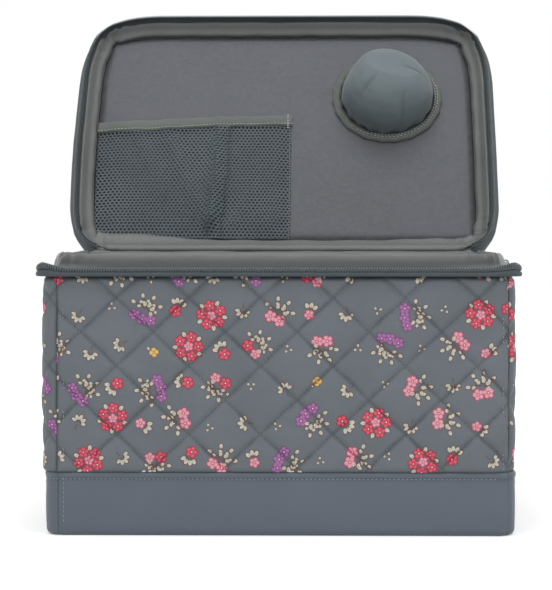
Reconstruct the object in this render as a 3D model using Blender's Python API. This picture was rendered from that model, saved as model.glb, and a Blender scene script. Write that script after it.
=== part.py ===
"""A soft quilted sewing box with a zip-around lid, standing open.

The walls are layers: a quilted cover outside, a stiff board, and a lining. A padded lip runs round
the mouth, and half of a coil zip is sewn below it. The lid has the same layers, the other half of
the zip, a net pocket and a pincushion inside, and a rolled handle outside. The box's back wall and
the lid are joined by a strip of fabric, which is the hinge.

The origin is the middle of the underside, the front faces -Y, and Z is up. Plan shapes are written
as an offset from the outside of the quilted walls: negative is inwards. The lid's pieces are drawn
as if it were shut, and an empty on the hinge axis then turns them open.
"""

import math
from collections import namedtuple

import bmesh
import bpy

MM = 0.001

# Plan and heights of the box
CASE_WIDTH = 307 * MM
CASE_DEPTH = 216 * MM
CORNER_RADIUS = 14 * MM
TIGHTEST_BEND = 1 * MM
ZIP_PLANE = 174 * MM
COVER_TOP = 168 * MM
BAND_TOP = 41.5 * MM
CLEARANCE = 0.3 * MM
CORNER_STEPS = 5

# Layers of a wall, from outside in
COVER_THICKNESS = 5 * MM
WALL_BOARD_THICKNESS = 2.5 * MM
LINING_THICKNESS = 1.5 * MM
# The covers meet at seams just round each corner, this far into the turn from front or back
LEFT_SEAM_TURN = math.radians(15)
RIGHT_SEAM_TURN = math.radians(43)

# Quilting: lines of stitches cross in a lattice of diamonds
DIAMOND_WIDTH = 46.5 * MM
DIAMOND_HEIGHT = 44 * MM
CROSSING_X = 12 * MM
CROSSING_Z = 88 * MM
QUILT_DEPTH = 1.8 * MM
PUFF_SHARE = 0.6
LATTICE_STEPS = 4
LEAST_COLUMN = 2 * MM

# Plain band round the foot, which turns under the box
BAND_INSET = 2.5 * MM
BAND_THICKNESS = 2.2 * MM
BAND_BEND = 9 * MM
BAND_STEPS = 4
BASE_BOARD_THICKNESS = 2.5 * MM

# Padded lip of the mouth
LIP_INSET = 6 * MM
LIP_WIDTH = 6 * MM
LIP_RISE = 8.5 * MM
LIP_STEPS = 3

# Zip: a tape with a sewn flange, and a half chain of coil on its outside
TAPE_THICKNESS = 0.8 * MM
TAPE_OUT = 1.3 * MM
CHAIN_THICKNESS = 1.9 * MM
CHAIN_HEIGHT = 3 * MM
CHAIN_ROUNDING = 0.8 * MM
CHAIN_GAP = 1.2 * MM
ZIP_END_IN = 15.5 * MM
STOP_LENGTH = 2.3 * MM
STOP_PROUD = 0.4 * MM

# Slider and pull
SLIDER_LENGTH = 10 * MM
SLIDER_PLATE = 1.2 * MM
SLIDER_REACH = 4.4 * MM
SLIDER_WEB = 0.6 * MM
SLIDER_WEB_LENGTH = 3 * MM
SLIDER_REST_IN = 22 * MM
BAR_RADIUS = 0.7 * MM
BAR_LENGTH = 5 * MM
PULL_EYE_RADIUS = 1.9 * MM
PULL_WIRE = 1.2 * MM
PULL_LENGTH = 24 * MM
PULL_WIDTH = 7 * MM
PULL_THICKNESS = 1.4 * MM
PULL_OVERLAP = 0.5 * MM
PULL_EYE_STEPS = 16

# Lid, as heights above the closing plane of the zip
LID_BULGE = 6.5 * MM
LID_BULGE_LOW = 2 * MM
LID_BULGE_RISE = 3 * MM
LID_ROLL_FLOOR = 9.2 * MM
LID_ROLL_HEIGHT = 6.4 * MM
LID_ROLL_WIDTH = 9.5 * MM
LID_ROLL_ROUNDING = 2.6 * MM
LID_ROLL_STEPS = 2
LID_PANEL_FLOOR = 12 * MM
LID_PANEL_THICKNESS = 1 * MM
LID_COVER_THICKNESS = 4.4 * MM
LID_COVER_ROUNDING = 3 * MM
LID_COVER_STEPS = 3
LID_COVER_INSET = 1.2 * MM
LID_FLANGE_IN = 4.5 * MM
HINGE_OUT = 5 * MM
HINGE_RISE = 6.5 * MM
LID_ANGLE = math.radians(124.2)
FLAP_THICKNESS = 1.2 * MM
FOLD_STEPS = 10
FLAP_END_GAP = 0.9 * MM

# Net pocket on the left of the lid's lining
POCKET_EDGE = 1.8 * MM
POCKET_WIDTH_SHARE = 0.5094
POCKET_LEFT_HEIGHT_SHARE = 0.4959
POCKET_RIGHT_HEIGHT_SHARE = 0.53
POCKET_FULLNESS = 3.4 * MM
POCKET_RAMP = 18 * MM
NET_THICKNESS = 0.8 * MM
NET_STRAND = 2.4 * MM
NET_COLUMNS = 10
NET_ROWS = 8
BINDING_WIDTH = 9.5 * MM
BINDING_THICKNESS = 1.8 * MM
BINDING_STEPS = 20

# Pincushion on the right
PINCUSHION_SIDE_SHARE = 0.5101
PINCUSHION_FRONT_SHARE = 0.3194
PINCUSHION_RADIUS = 35 * MM
PINCUSHION_HEIGHT = 35.5 * MM
PINCUSHION_STEPS = 28
PLEAT_DEPTH = 0.5 * MM
PLEATS = 7
RING_RADIUS = 42 * MM
RING_HEIGHT = 3.4 * MM
RING_STEPS = 28
RING_ROUND_STEPS = 2
# Turned outline of the dome, from its base to its crown: (radius, height) as shares
DOME_SHARES = (
    (0.95, 0.0),
    (0.99, 0.1),
    (1.0, 0.24),
    (0.975, 0.42),
    (0.89, 0.62),
    (0.74, 0.79),
    (0.53, 0.92),
    (0.27, 0.985),
)

# Rolled handle outside the lid
HANDLE_SPAN = 136 * MM
HANDLE_RISE = 30 * MM
HANDLE_RADIUS = 6 * MM
HANDLE_STEPS = 24
HANDLE_ROUND_STEPS = 2
HANDLE_LIFT = 7 * MM
TAB_LENGTH = 30 * MM
TAB_WIDTH = 26 * MM
TAB_THICKNESS = 1.6 * MM
STUB_LENGTH = 8 * MM
STUB_SHARE = 0.7

HALF_WIDTH = CASE_WIDTH / 2
HALF_DEPTH = CASE_DEPTH / 2
COVER_INNER = -COVER_THICKNESS
BOARD_OUTER = COVER_INNER - CLEARANCE
BOARD_INNER = BOARD_OUTER - WALL_BOARD_THICKNESS
LINING_OUTER = BOARD_INNER - CLEARANCE
LINING_INNER = LINING_OUTER - LINING_THICKNESS
BAND_FOOT = -BAND_INSET - BAND_BEND
BASE_BOARD_FLOOR = BAND_THICKNESS + CLEARANCE
BASE_LINING_FLOOR = BASE_BOARD_FLOOR + BASE_BOARD_THICKNESS + CLEARANCE
FLANGE_FLOOR = COVER_TOP + CLEARANCE
LIP_TOP = ZIP_PLANE + LIP_RISE
CASE_FLANGE_IN = -LIP_INSET + CLEARANCE
LID_BAND_FLOOR = 2 * ZIP_PLANE - FLANGE_FLOOR + CLEARANCE
CHAIN_INNER = TAPE_OUT + CLEARANCE
CHAIN_OUTER = CHAIN_INNER + CHAIN_THICKNESS
CHAIN_TOP = ZIP_PLANE - CHAIN_GAP / 2
SIDE_RUN = CASE_DEPTH - 2 * CORNER_RADIUS
FRONT_RUN = CASE_WIDTH - 2 * CORNER_RADIUS
CORNER_RUN = CORNER_RADIUS * math.pi / 2
ROUND_TRIP = 2 * (SIDE_RUN + FRONT_RUN) + 4 * CORNER_RUN
HINGE_Y = HALF_DEPTH + HINGE_OUT
HINGE_Z = ZIP_PLANE + HINGE_RISE
BAR_STAND_OFF = PULL_EYE_RADIUS + PULL_WIRE / 2 + CLEARANCE
LID_ROLL_TOP = ZIP_PLANE + LID_ROLL_FLOOR + LID_ROLL_HEIGHT
LID_FACE = ZIP_PLANE + LID_PANEL_FLOOR
LID_COVER_FLOOR = LID_ROLL_TOP + CLEARANCE
LID_TOP = LID_COVER_FLOOR + LID_COVER_THICKNESS
LID_PANEL_EDGE = -LID_ROLL_WIDTH - CLEARANCE
LID_PANEL_HALF_WIDTH = HALF_WIDTH + LID_PANEL_EDGE
LID_PANEL_HALF_DEPTH = HALF_DEPTH + LID_PANEL_EDGE
POCKET_LEFT_X = POCKET_EDGE - LID_PANEL_HALF_WIDTH
POCKET_RIGHT_X = POCKET_LEFT_X + 2 * LID_PANEL_HALF_WIDTH * POCKET_WIDTH_SHARE
POCKET_BOTTOM_Y = LID_PANEL_HALF_DEPTH - POCKET_EDGE
POCKET_TOP_LEFT_Y = POCKET_BOTTOM_Y - 2 * LID_PANEL_HALF_DEPTH * POCKET_LEFT_HEIGHT_SHARE
POCKET_TOP_RIGHT_Y = POCKET_BOTTOM_Y - 2 * LID_PANEL_HALF_DEPTH * POCKET_RIGHT_HEIGHT_SHARE
PINCUSHION_X = HALF_WIDTH * PINCUSHION_SIDE_SHARE
PINCUSHION_Y = -HALF_DEPTH * PINCUSHION_FRONT_SHARE
ZIP_END_X = HALF_WIDTH - ZIP_END_IN
SLIDER_REST_Y = HALF_DEPTH - SLIDER_REST_IN

Station = namedtuple("Station", "angle corner along")


# Plan geometry

def place(station, offset):
    """Where a station of the outline lies at an offset from the quilted walls."""
    radius = max(CORNER_RADIUS + offset, TIGHTEST_BEND)
    reach_x = HALF_WIDTH + offset - radius
    reach_y = HALF_DEPTH + offset - radius
    nx = math.cos(station.angle)
    ny = math.sin(station.angle)
    if station.corner:
        x, y = station.corner[0] * reach_x, station.corner[1] * reach_y
    elif abs(ny) > abs(nx):
        x = min(max(station.along, -reach_x), reach_x)
        y = math.copysign(reach_y, ny)
    else:
        x = math.copysign(reach_x, nx)
        y = min(max(station.along, -reach_y), reach_y)
    return x + nx * radius, y + ny * radius


def station_at(run):
    """The station this far round the outline, anticlockwise from the middle of the front."""
    run = (run + FRONT_RUN / 2) % ROUND_TRIP
    for quarter, (length, sign) in enumerate(
        ((FRONT_RUN, 1), (SIDE_RUN, 1), (FRONT_RUN, -1), (SIDE_RUN, -1))
    ):
        angle = (quarter - 1) * math.pi / 2
        if run <= length:
            return Station(angle, None, sign * (run - length / 2))
        run -= length
        if run <= CORNER_RUN:
            corner = ((1, -1), (1, 1), (-1, 1), (-1, -1))[quarter]
            return Station(angle + run / CORNER_RADIUS, corner, 0)
        run -= CORNER_RUN
    return Station(-math.pi / 2, None, -FRONT_RUN / 2)


def bend_runs():
    """Where the outline bends: the start, end and steps of each corner, over two rounds."""
    runs = []
    start = FRONT_RUN / 2
    for length in 4 * (SIDE_RUN, FRONT_RUN):
        for step in range(CORNER_STEPS + 1):
            runs.append(start + CORNER_RUN * step / CORNER_STEPS)
        start += CORNER_RUN + length
    return [run - ROUND_TRIP for run in runs] + runs


def runs_between(first, last, extra=()):
    """Sorted runs from first to last: the bends and any extra ones between them."""
    inner = [run for run in bend_runs() + list(extra) if first + LEAST_COLUMN < run < last - LEAST_COLUMN]
    kept = [first]
    for run in sorted(inner):
        if run - kept[-1] > LEAST_COLUMN:
            kept.append(run)
    return kept + [last]


def corner_stations():
    """The stations of a whole round, which only its corners need."""
    stations = []
    for quarter, corner in enumerate(((1, -1), (1, 1), (-1, 1), (-1, -1))):
        for step in range(CORNER_STEPS + 1):
            angle = (quarter - 1 + step / CORNER_STEPS) * math.pi / 2
            stations.append(Station(angle, corner, 0))
    return stations


def front_run(turn):
    """The run from the middle of the front to a point this far into the next corner's turn."""
    return FRONT_RUN / 2 + CORNER_RADIUS * turn


SEAMS = {
    "front": (-front_run(LEFT_SEAM_TURN), front_run(RIGHT_SEAM_TURN)),
    "right": (front_run(RIGHT_SEAM_TURN), ROUND_TRIP / 2 - front_run(RIGHT_SEAM_TURN)),
    "back": (ROUND_TRIP / 2 - front_run(RIGHT_SEAM_TURN), ROUND_TRIP / 2 + front_run(LEFT_SEAM_TURN)),
    "left": (ROUND_TRIP / 2 + front_run(LEFT_SEAM_TURN), ROUND_TRIP - front_run(LEFT_SEAM_TURN)),
}


# Making solids

def material(name, colour, roughness, metallic=0.0):
    made = bpy.data.materials.new(name)
    made.use_nodes = True
    shader = made.node_tree.nodes["Principled BSDF"]
    shader.inputs["Base Color"].default_value = (*colour, 1)
    shader.inputs["Roughness"].default_value = roughness
    shader.inputs["Metallic"].default_value = metallic
    made.diffuse_color = (*colour, 1)
    return made


def add_object(name, bm, finish, parent=None):
    """Puts the mesh in the scene; its vertices are in the parent's own frame, or the world's."""
    bmesh.ops.recalc_face_normals(bm, faces=bm.faces)
    return add_mesh(name, bm, finish, parent)


def add_mesh(name, bm, finish, parent):
    mesh = bpy.data.meshes.new(name)
    bm.to_mesh(mesh)
    bm.free()
    mesh.materials.append(finish)
    made = bpy.data.objects.new(name, mesh)
    made.parent = parent
    bpy.context.scene.collection.objects.link(made)
    return made


def add_empty(name, place_at, parent=None, turn=0.0):
    made = bpy.data.objects.new(name, None)
    made.location = place_at
    made.rotation_euler.x = turn
    made.parent = parent
    made.empty_display_size = CORNER_RADIUS
    bpy.context.scene.collection.objects.link(made)
    return made


def lofted(sections, closed_round):
    """A solid through closed sections of like point counts, capped at its ends unless it closes."""
    bm = bmesh.new()
    rows = [[bm.verts.new(point) for point in section] for section in sections]
    pairs = list(zip(rows, rows[1:]))
    if closed_round:
        pairs.append((rows[-1], rows[0]))
    else:
        bm.faces.new(rows[0][::-1])
        bm.faces.new(rows[-1])
    for row, after in pairs:
        for k in range(len(row)):
            n = (k + 1) % len(row)
            bm.faces.new((row[k], row[n], after[n], after[k]))
    return bm


def swept(stations, profile, closed_round=False):
    """A profile of (offset, height) points carried along stations of the outline."""
    sections = [[(*place(station, offset), z) for offset, z in profile] for station in stations]
    return lofted(sections, closed_round)


def plate(levels):
    """A flat solid from (offset, height) levels, each a whole round of the outline."""
    stations = corner_stations()
    return lofted([[(*place(s, offset), z) for s in stations] for offset, z in levels], False)


def box(low, high):
    corners = []
    for z in (low[2], high[2]):
        near = [(low[0], low[1], z), (high[0], low[1], z)]
        corners.append(near + [(high[0], high[1], z), (low[0], high[1], z)])
    return lofted(corners, False)


def rounded(inner, outer, floor, top, radius, steps, round_floor=True):
    """Points of a rounded oblong in (offset, height), with its lower corners square if asked."""
    radius = min(radius, (outer - inner) / 2, (top - floor) / 2)
    points = []
    for quarter, (o, z) in enumerate(((outer, top), (inner, top), (inner, floor), (outer, floor))):
        if quarter > 1 and not round_floor:
            points.append((o, z))
            continue
        middle_o = o - math.copysign(radius, o - (inner + outer) / 2)
        middle_z = z - math.copysign(radius, z - (floor + top) / 2)
        for step in range(steps + 1):
            angle = (quarter + step / steps) * math.pi / 2
            points.append((middle_o + radius * math.cos(angle), middle_z + radius * math.sin(angle)))
    return points


def moved(bm, shift):
    for vert in bm.verts:
        vert.co.x += shift[0]
        vert.co.y += shift[1]
        vert.co.z += shift[2]
    return bm


def stations_of(runs):
    return [station_at(run) for run in runs]


# The box's walls and floor

def quilt_drop(run, z):
    """How far the stitches draw the quilting in: nothing amid a diamond, all of it on a line."""
    across = (run - CROSSING_X) / DIAMOND_WIDTH
    up = (z - CROSSING_Z) / DIAMOND_HEIGHT
    puff = abs(math.sin(math.pi * (across + up)) * math.sin(math.pi * (across - up)))
    return QUILT_DEPTH * (1 - puff ** PUFF_SHARE)


def lattice(origin, pitch, low, high):
    step = pitch / LATTICE_STEPS
    first = math.ceil((low - origin) / step)
    last = math.floor((high - origin) / step)
    return [origin + k * step for k in range(first, last + 1)]


def quilted_cover(name, finish):
    first, last = SEAMS[name]
    first, last = first + CLEARANCE / 2, last - CLEARANCE / 2
    floor, top = BAND_TOP + CLEARANCE / 2, COVER_TOP
    runs = runs_between(first, last, lattice(CROSSING_X, DIAMOND_WIDTH, first, last))
    heights = [floor]
    for z in lattice(CROSSING_Z, DIAMOND_HEIGHT, floor, top):
        if z - heights[-1] > LEAST_COLUMN and top - z > LEAST_COLUMN:
            heights.append(z)
    heights.append(top)

    def drop(run, z):
        on_seam = run in (first, last) or z in (floor, top)
        return QUILT_DEPTH if on_seam else quilt_drop(run, z)

    bm = bmesh.new()
    outer, inner = [], []
    for run in runs:
        station = station_at(run)
        outer.append([bm.verts.new((*place(station, -drop(run, z)), z)) for z in heights])
        inner.append([bm.verts.new((*place(station, COVER_INNER), z)) for z in (floor, top)])
    for i in range(len(runs) - 1):
        for j in range(len(heights) - 1):
            a, b = outer[i][j], outer[i + 1][j]
            c, d = outer[i + 1][j + 1], outer[i][j + 1]
            middle = quilt_drop((runs[i] + runs[i + 1]) / 2, (heights[j] + heights[j + 1]) / 2)
            rising = (drop(runs[i], heights[j]) + drop(runs[i + 1], heights[j + 1])) / 2
            falling = (drop(runs[i + 1], heights[j]) + drop(runs[i], heights[j + 1])) / 2
            if abs(rising - middle) < abs(falling - middle):
                bm.faces.new((a, b, c))
                bm.faces.new((a, c, d))
            else:
                bm.faces.new((a, b, d))
                bm.faces.new((b, c, d))
        bm.faces.new((inner[i][0], inner[i][1], inner[i + 1][1], inner[i + 1][0]))
        bm.faces.new((outer[i][0], inner[i][0], inner[i + 1][0], outer[i + 1][0]))
        bm.faces.new((outer[i][-1], outer[i + 1][-1], inner[i + 1][1], inner[i][1]))
    bm.faces.new(outer[0] + inner[0][::-1])
    bm.faces.new(outer[-1][::-1] + inner[-1])
    add_object(name + "_cover", bm, finish)


def plain_band(name, finish):
    first, last = SEAMS[name]
    stations = stations_of(runs_between(first + CLEARANCE / 2, last - CLEARANCE / 2))
    outer, inner = -BAND_INSET, -BAND_INSET - BAND_THICKNESS
    top = BAND_TOP - CLEARANCE / 2
    profile = [(inner, top), (outer, top)]
    for step in range(BAND_STEPS + 1):
        angle = -step / BAND_STEPS * math.pi / 2
        profile.append((BAND_FOOT + BAND_BEND * math.cos(angle), BAND_BEND + BAND_BEND * math.sin(angle)))
    tight = BAND_BEND - BAND_THICKNESS
    for step in range(BAND_STEPS, -1, -1):
        angle = -step / BAND_STEPS * math.pi / 2
        profile.append((BAND_FOOT + tight * math.cos(angle), BAND_BEND + tight * math.sin(angle)))
    add_object(name + "_band", swept(stations, profile), finish)


def straight_run(side):
    """The ends of the straight run of one wall, clear of its corners."""
    start = -FRONT_RUN / 2
    lengths = {"front": FRONT_RUN, "right": SIDE_RUN, "back": FRONT_RUN, "left": SIDE_RUN}
    for name, length in lengths.items():
        if name == side:
            return start + CLEARANCE, start + length - CLEARANCE
        start += length + CORNER_RUN


def wall_board(side, finish):
    profile = [
        (BOARD_INNER, BAND_BEND),
        (BOARD_OUTER, BAND_BEND),
        (BOARD_OUTER, COVER_TOP),
        (BOARD_INNER, COVER_TOP),
    ]
    add_object(side + "_board", swept(stations_of(straight_run(side)), profile), finish)


def wall_lining(side, finish):
    profile = [
        (LINING_INNER, BASE_LINING_FLOOR),
        (LINING_OUTER, BASE_LINING_FLOOR),
        (LINING_OUTER, COVER_TOP),
        (LINING_INNER, COVER_TOP),
    ]
    first, last = straight_run(side)
    if side in ("left", "right"):
        # The side linings also turn both corners.
        first, last = first - CORNER_RUN - CLEARANCE, last + CORNER_RUN + CLEARANCE
    add_object("lining_" + side, swept(stations_of(runs_between(first, last)), profile), finish)


def floor_pieces(shell, board, lining):
    foot = BAND_FOOT - CLEARANCE
    add_object("bottom_cover", plate([(foot, 0), (foot, BAND_THICKNESS)]), shell)
    board_top = BASE_BOARD_FLOOR + BASE_BOARD_THICKNESS
    add_object("base_board", plate([(BAND_FOOT, BASE_BOARD_FLOOR), (BAND_FOOT, board_top)]), board)
    edge = LINING_INNER - CLEARANCE
    top = BASE_LINING_FLOOR + LINING_THICKNESS
    add_object("lining_base", plate([(edge, BASE_LINING_FLOOR), (edge, top)]), lining)


def rim_lip(finish):
    inner = -LIP_INSET - LIP_WIDTH
    profile = rounded(inner, -LIP_INSET, FLANGE_FLOOR, LIP_TOP, LIP_WIDTH / 2, LIP_STEPS, False)
    add_object("rim_lip", swept(corner_stations(), profile, True), finish)


# The zip

def mirrored(profile):
    """The same profile on the lid's side of the closing plane."""
    return [(offset, 2 * ZIP_PLANE - z) for offset, z in profile]


def tape_profile(flange_in):
    leg_in = TAPE_OUT - TAPE_THICKNESS
    return [
        (-flange_in, FLANGE_FLOOR),
        (TAPE_OUT, FLANGE_FLOOR),
        (TAPE_OUT, CHAIN_TOP),
        (leg_in, CHAIN_TOP),
        (leg_in, FLANGE_FLOOR + TAPE_THICKNESS),
        (-flange_in, FLANGE_FLOOR + TAPE_THICKNESS),
    ]


def chain_profile():
    floor = CHAIN_TOP - CHAIN_HEIGHT
    return rounded(CHAIN_INNER, CHAIN_OUTER, floor, CHAIN_TOP, CHAIN_ROUNDING, 1)


def zip_runs():
    end = ROUND_TRIP / 2 - ZIP_END_X
    return runs_between(-end, end)


def zip_half(prefix, shape, flange_in, cloth, coil, parent, shift):
    stations = stations_of(zip_runs())
    tape = moved(swept(stations, shape(tape_profile(flange_in))), shift)
    add_object(prefix + "_zip_tape", tape, cloth, parent)
    chain = moved(swept(stations, shape(chain_profile())), shift)
    add_object(prefix + "_zip_chain", chain, coil, parent)


def zip_stops(finish):
    """A stop on each end of the box's half chain, behind the back corners."""
    outer = CHAIN_OUTER + STOP_PROUD
    for side, sign in (("right", 1), ("left", -1)):
        near, far = ZIP_END_X - CLEARANCE, ZIP_END_X - CLEARANCE - STOP_LENGTH
        low = (min(sign * near, sign * far), HALF_DEPTH + CHAIN_INNER, CHAIN_TOP - CHAIN_HEIGHT)
        high = (max(sign * near, sign * far), HALF_DEPTH + outer, CHAIN_TOP)
        add_object("zip_stop_" + side, box(low, high), finish)


def slider(side, sign, metal):
    """Two plates astride both half chains, joined by a web that runs in the gap between them."""
    inner_face = TAPE_OUT - TAPE_THICKNESS - CLEARANCE
    outer_face = CHAIN_OUTER + CLEARANCE
    parent = add_empty("slider_axis_" + side, (0, SLIDER_REST_Y, ZIP_PLANE))

    def span(first, last):
        ends = sorted((sign * (HALF_WIDTH + first), sign * (HALF_WIDTH + last)))
        return ends[0], ends[1]

    def block(first, last, half_length, half_height):
        low_x, high_x = span(first, last)
        return (low_x, -half_length, -half_height), (high_x, half_length, half_height)

    half = SLIDER_LENGTH / 2
    pieces = [
        box(*block(inner_face - SLIDER_PLATE, inner_face, half, SLIDER_REACH)),
        box(*block(outer_face, outer_face + SLIDER_PLATE, half, SLIDER_REACH)),
        box(
            *block(
                inner_face - SLIDER_PLATE / 2,
                outer_face + SLIDER_PLATE / 2,
                SLIDER_WEB_LENGTH / 2,
                SLIDER_WEB / 2,
            )
        ),
    ]
    # The bar that the pull hangs on, and its two legs
    plate_face = outer_face + SLIDER_PLATE
    bar_middle = plate_face + BAR_STAND_OFF
    for end in (-1, 1):
        low, high = block(plate_face - SLIDER_PLATE / 2, bar_middle + BAR_RADIUS, 0, BAR_RADIUS)
        ends = sorted((end * BAR_LENGTH / 2, end * (BAR_LENGTH / 2 + 2 * BAR_RADIUS)))
        pieces.append(box((low[0], ends[0], low[2]), (high[0], ends[1], high[2])))
    half_bar = BAR_LENGTH / 2 + BAR_RADIUS
    low, high = block(bar_middle - BAR_RADIUS, bar_middle + BAR_RADIUS, half_bar, BAR_RADIUS)
    pieces.append(box(low, high))
    joined("slider_" + side, pieces, metal, parent)
    return parent, sign * (HALF_WIDTH + bar_middle)


def joined(name, meshes, finish, parent=None):
    """One solid from overlapping ones: the first takes the rest in by Boolean unions."""
    first = add_object(name, meshes[0], finish, parent)
    for number, mesh in enumerate(meshes[1:]):
        other = add_object(f"{name}_join_{number}", mesh, finish, parent)
        other.hide_render = True
        other.display_type = "WIRE"
        union = first.modifiers.new(f"join {number}", "BOOLEAN")
        union.operation = "UNION"
        union.object = other


def pull(side, parent, bar_x, metal):
    """A tab on a wire eye that hangs loose on the slider's bar."""
    axis = add_empty("pull_axis_" + side, (bar_x, 0, 0), parent)
    sections = []
    for step in range(PULL_EYE_STEPS):
        angle = 2 * math.pi * step / PULL_EYE_STEPS
        section = []
        for grow, out in ((-1, -1), (1, -1), (1, 1), (-1, 1)):
            radius = PULL_EYE_RADIUS + grow * PULL_WIRE / 2
            section.append((radius * math.cos(angle), out * PULL_WIRE / 2, radius * math.sin(angle)))
        sections.append(section)
    eye = lofted(sections, True)
    top = -PULL_EYE_RADIUS - PULL_WIRE / 2 + PULL_OVERLAP
    tab = box(
        (-PULL_THICKNESS / 2, -PULL_WIDTH / 2, top - PULL_LENGTH),
        (PULL_THICKNESS / 2, PULL_WIDTH / 2, top),
    )
    joined("pull_" + side, [eye, tab], metal, axis)


# The hinge strip

def hinge_flaps(cloth, parent, shift):
    """The strip's two halves. The box's half ends in a round fold on the axis, which the lid turns on."""
    end = ZIP_END_X - STOP_LENGTH - 2 * CLEARANCE - FLAP_END_GAP
    stations = stations_of((ROUND_TRIP / 2 - end, ROUND_TRIP / 2 + end))
    # The fold's radius leaves a clearance to the slope of the lid's side band.
    slope_out = LID_BULGE - LID_COVER_INSET - LID_BULGE_LOW
    axis_out = HINGE_OUT - LID_BULGE_LOW
    axis_up = HINGE_Z - LID_BAND_FLOOR
    reach = (axis_out * LID_BULGE_RISE - axis_up * slope_out) / math.hypot(slope_out, LID_BULGE_RISE)
    fold = reach - CLEARANCE
    leg_in = TAPE_OUT - TAPE_THICKNESS
    foot_out = leg_in + FLAP_THICKNESS
    lean = math.atan2(FLANGE_FLOOR - HINGE_Z, (leg_in + foot_out) / 2 - HINGE_OUT)
    spread = math.asin(min(FLAP_THICKNESS / 2 / fold, 1))
    case_flap = [(CASE_FLANGE_IN, FLANGE_FLOOR), (foot_out, FLANGE_FLOOR)]
    for step in range(FOLD_STEPS + 1):
        angle = lean + spread + (2 * math.pi - 2 * spread) * step / FOLD_STEPS
        case_flap.append((HINGE_OUT + fold * math.cos(angle), HINGE_Z + fold * math.sin(angle)))
    case_flap += [(leg_in, FLANGE_FLOOR + TAPE_THICKNESS), (CASE_FLANGE_IN, FLANGE_FLOOR + TAPE_THICKNESS)]
    add_object("hinge_flap_case", swept(stations, case_flap), cloth)
    flap_top = LID_BAND_FLOOR - CLEARANCE
    flap_out = HINGE_OUT - fold - CLEARANCE
    lid_flap = [
        (-LID_FLANGE_IN, flap_top - TAPE_THICKNESS),
        (flap_out, flap_top - TAPE_THICKNESS),
        (flap_out, flap_top),
        (-LID_FLANGE_IN, flap_top),
    ]
    add_object("hinge_flap_lid", moved(swept(stations, lid_flap), shift), cloth, parent)


# The lid

def lid_shell(finishes, parent, shift):
    rounds = corner_stations()
    band = [
        (CLEARANCE, LID_BAND_FLOOR),
        (LID_BULGE_LOW, LID_BAND_FLOOR),
        (LID_BULGE - LID_COVER_INSET, LID_BAND_FLOOR + LID_BULGE_RISE),
        (LID_BULGE, (LID_BAND_FLOOR + LID_BULGE_RISE + LID_ROLL_TOP) / 2),
        (LID_BULGE - LID_COVER_INSET / 2, LID_ROLL_TOP),
        (CLEARANCE, LID_ROLL_TOP),
    ]
    add_object("lid_side_band", moved(swept(rounds, band, True), shift), finishes["quilt"], parent)
    floor = ZIP_PLANE + LID_ROLL_FLOOR
    roll = rounded(-LID_ROLL_WIDTH, 0, floor, LID_ROLL_TOP, LID_ROLL_ROUNDING, LID_ROLL_STEPS)
    add_object("lid_rim_roll", moved(swept(rounds, roll, True), shift), finishes["lining"], parent)
    panel_top = LID_FACE + LID_PANEL_THICKNESS
    panel = plate([(LID_PANEL_EDGE, LID_FACE), (LID_PANEL_EDGE, panel_top)])
    add_object("lid_lining_panel", moved(panel, shift), finishes["lid_lining"], parent)
    board = plate([(LID_PANEL_EDGE, panel_top + CLEARANCE), (LID_PANEL_EDGE, LID_ROLL_TOP)])
    add_object("lid_board", moved(board, shift), finishes["board"], parent)
    edge = LID_BULGE - LID_COVER_INSET
    levels = [(edge, LID_COVER_FLOOR)]
    for step in range(LID_COVER_STEPS + 1):
        angle = step / LID_COVER_STEPS * math.pi / 2
        drawn_in = LID_COVER_ROUNDING * (1 - math.cos(angle))
        levels.append((edge - drawn_in, LID_TOP - LID_COVER_ROUNDING * (1 - math.sin(angle))))
    add_object("lid_quilt_panel", moved(plate(levels), shift), finishes["quilt"], parent)


def ease(distance):
    """From 0 at a sewn edge to 1 a ramp's length away, level at both ends."""
    share = min(max(distance / POCKET_RAMP, 0), 1)
    return share * share * (3 - 2 * share)


def mouth_y(x):
    """The lower edge of the pocket's binding, which rises to the right."""
    share = (x - POCKET_LEFT_X) / (POCKET_RIGHT_X - POCKET_LEFT_X)
    return POCKET_TOP_LEFT_Y + (POCKET_TOP_RIGHT_Y - POCKET_TOP_LEFT_Y) * share


def pocket_lift(x, y):
    """How far the pocket stands off the lid's lining: nothing at its three sewn edges."""
    across = ease(x - POCKET_LEFT_X) * ease(POCKET_RIGHT_X - x)
    return POCKET_FULLNESS * across * ease(POCKET_BOTTOM_Y - y)


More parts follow.
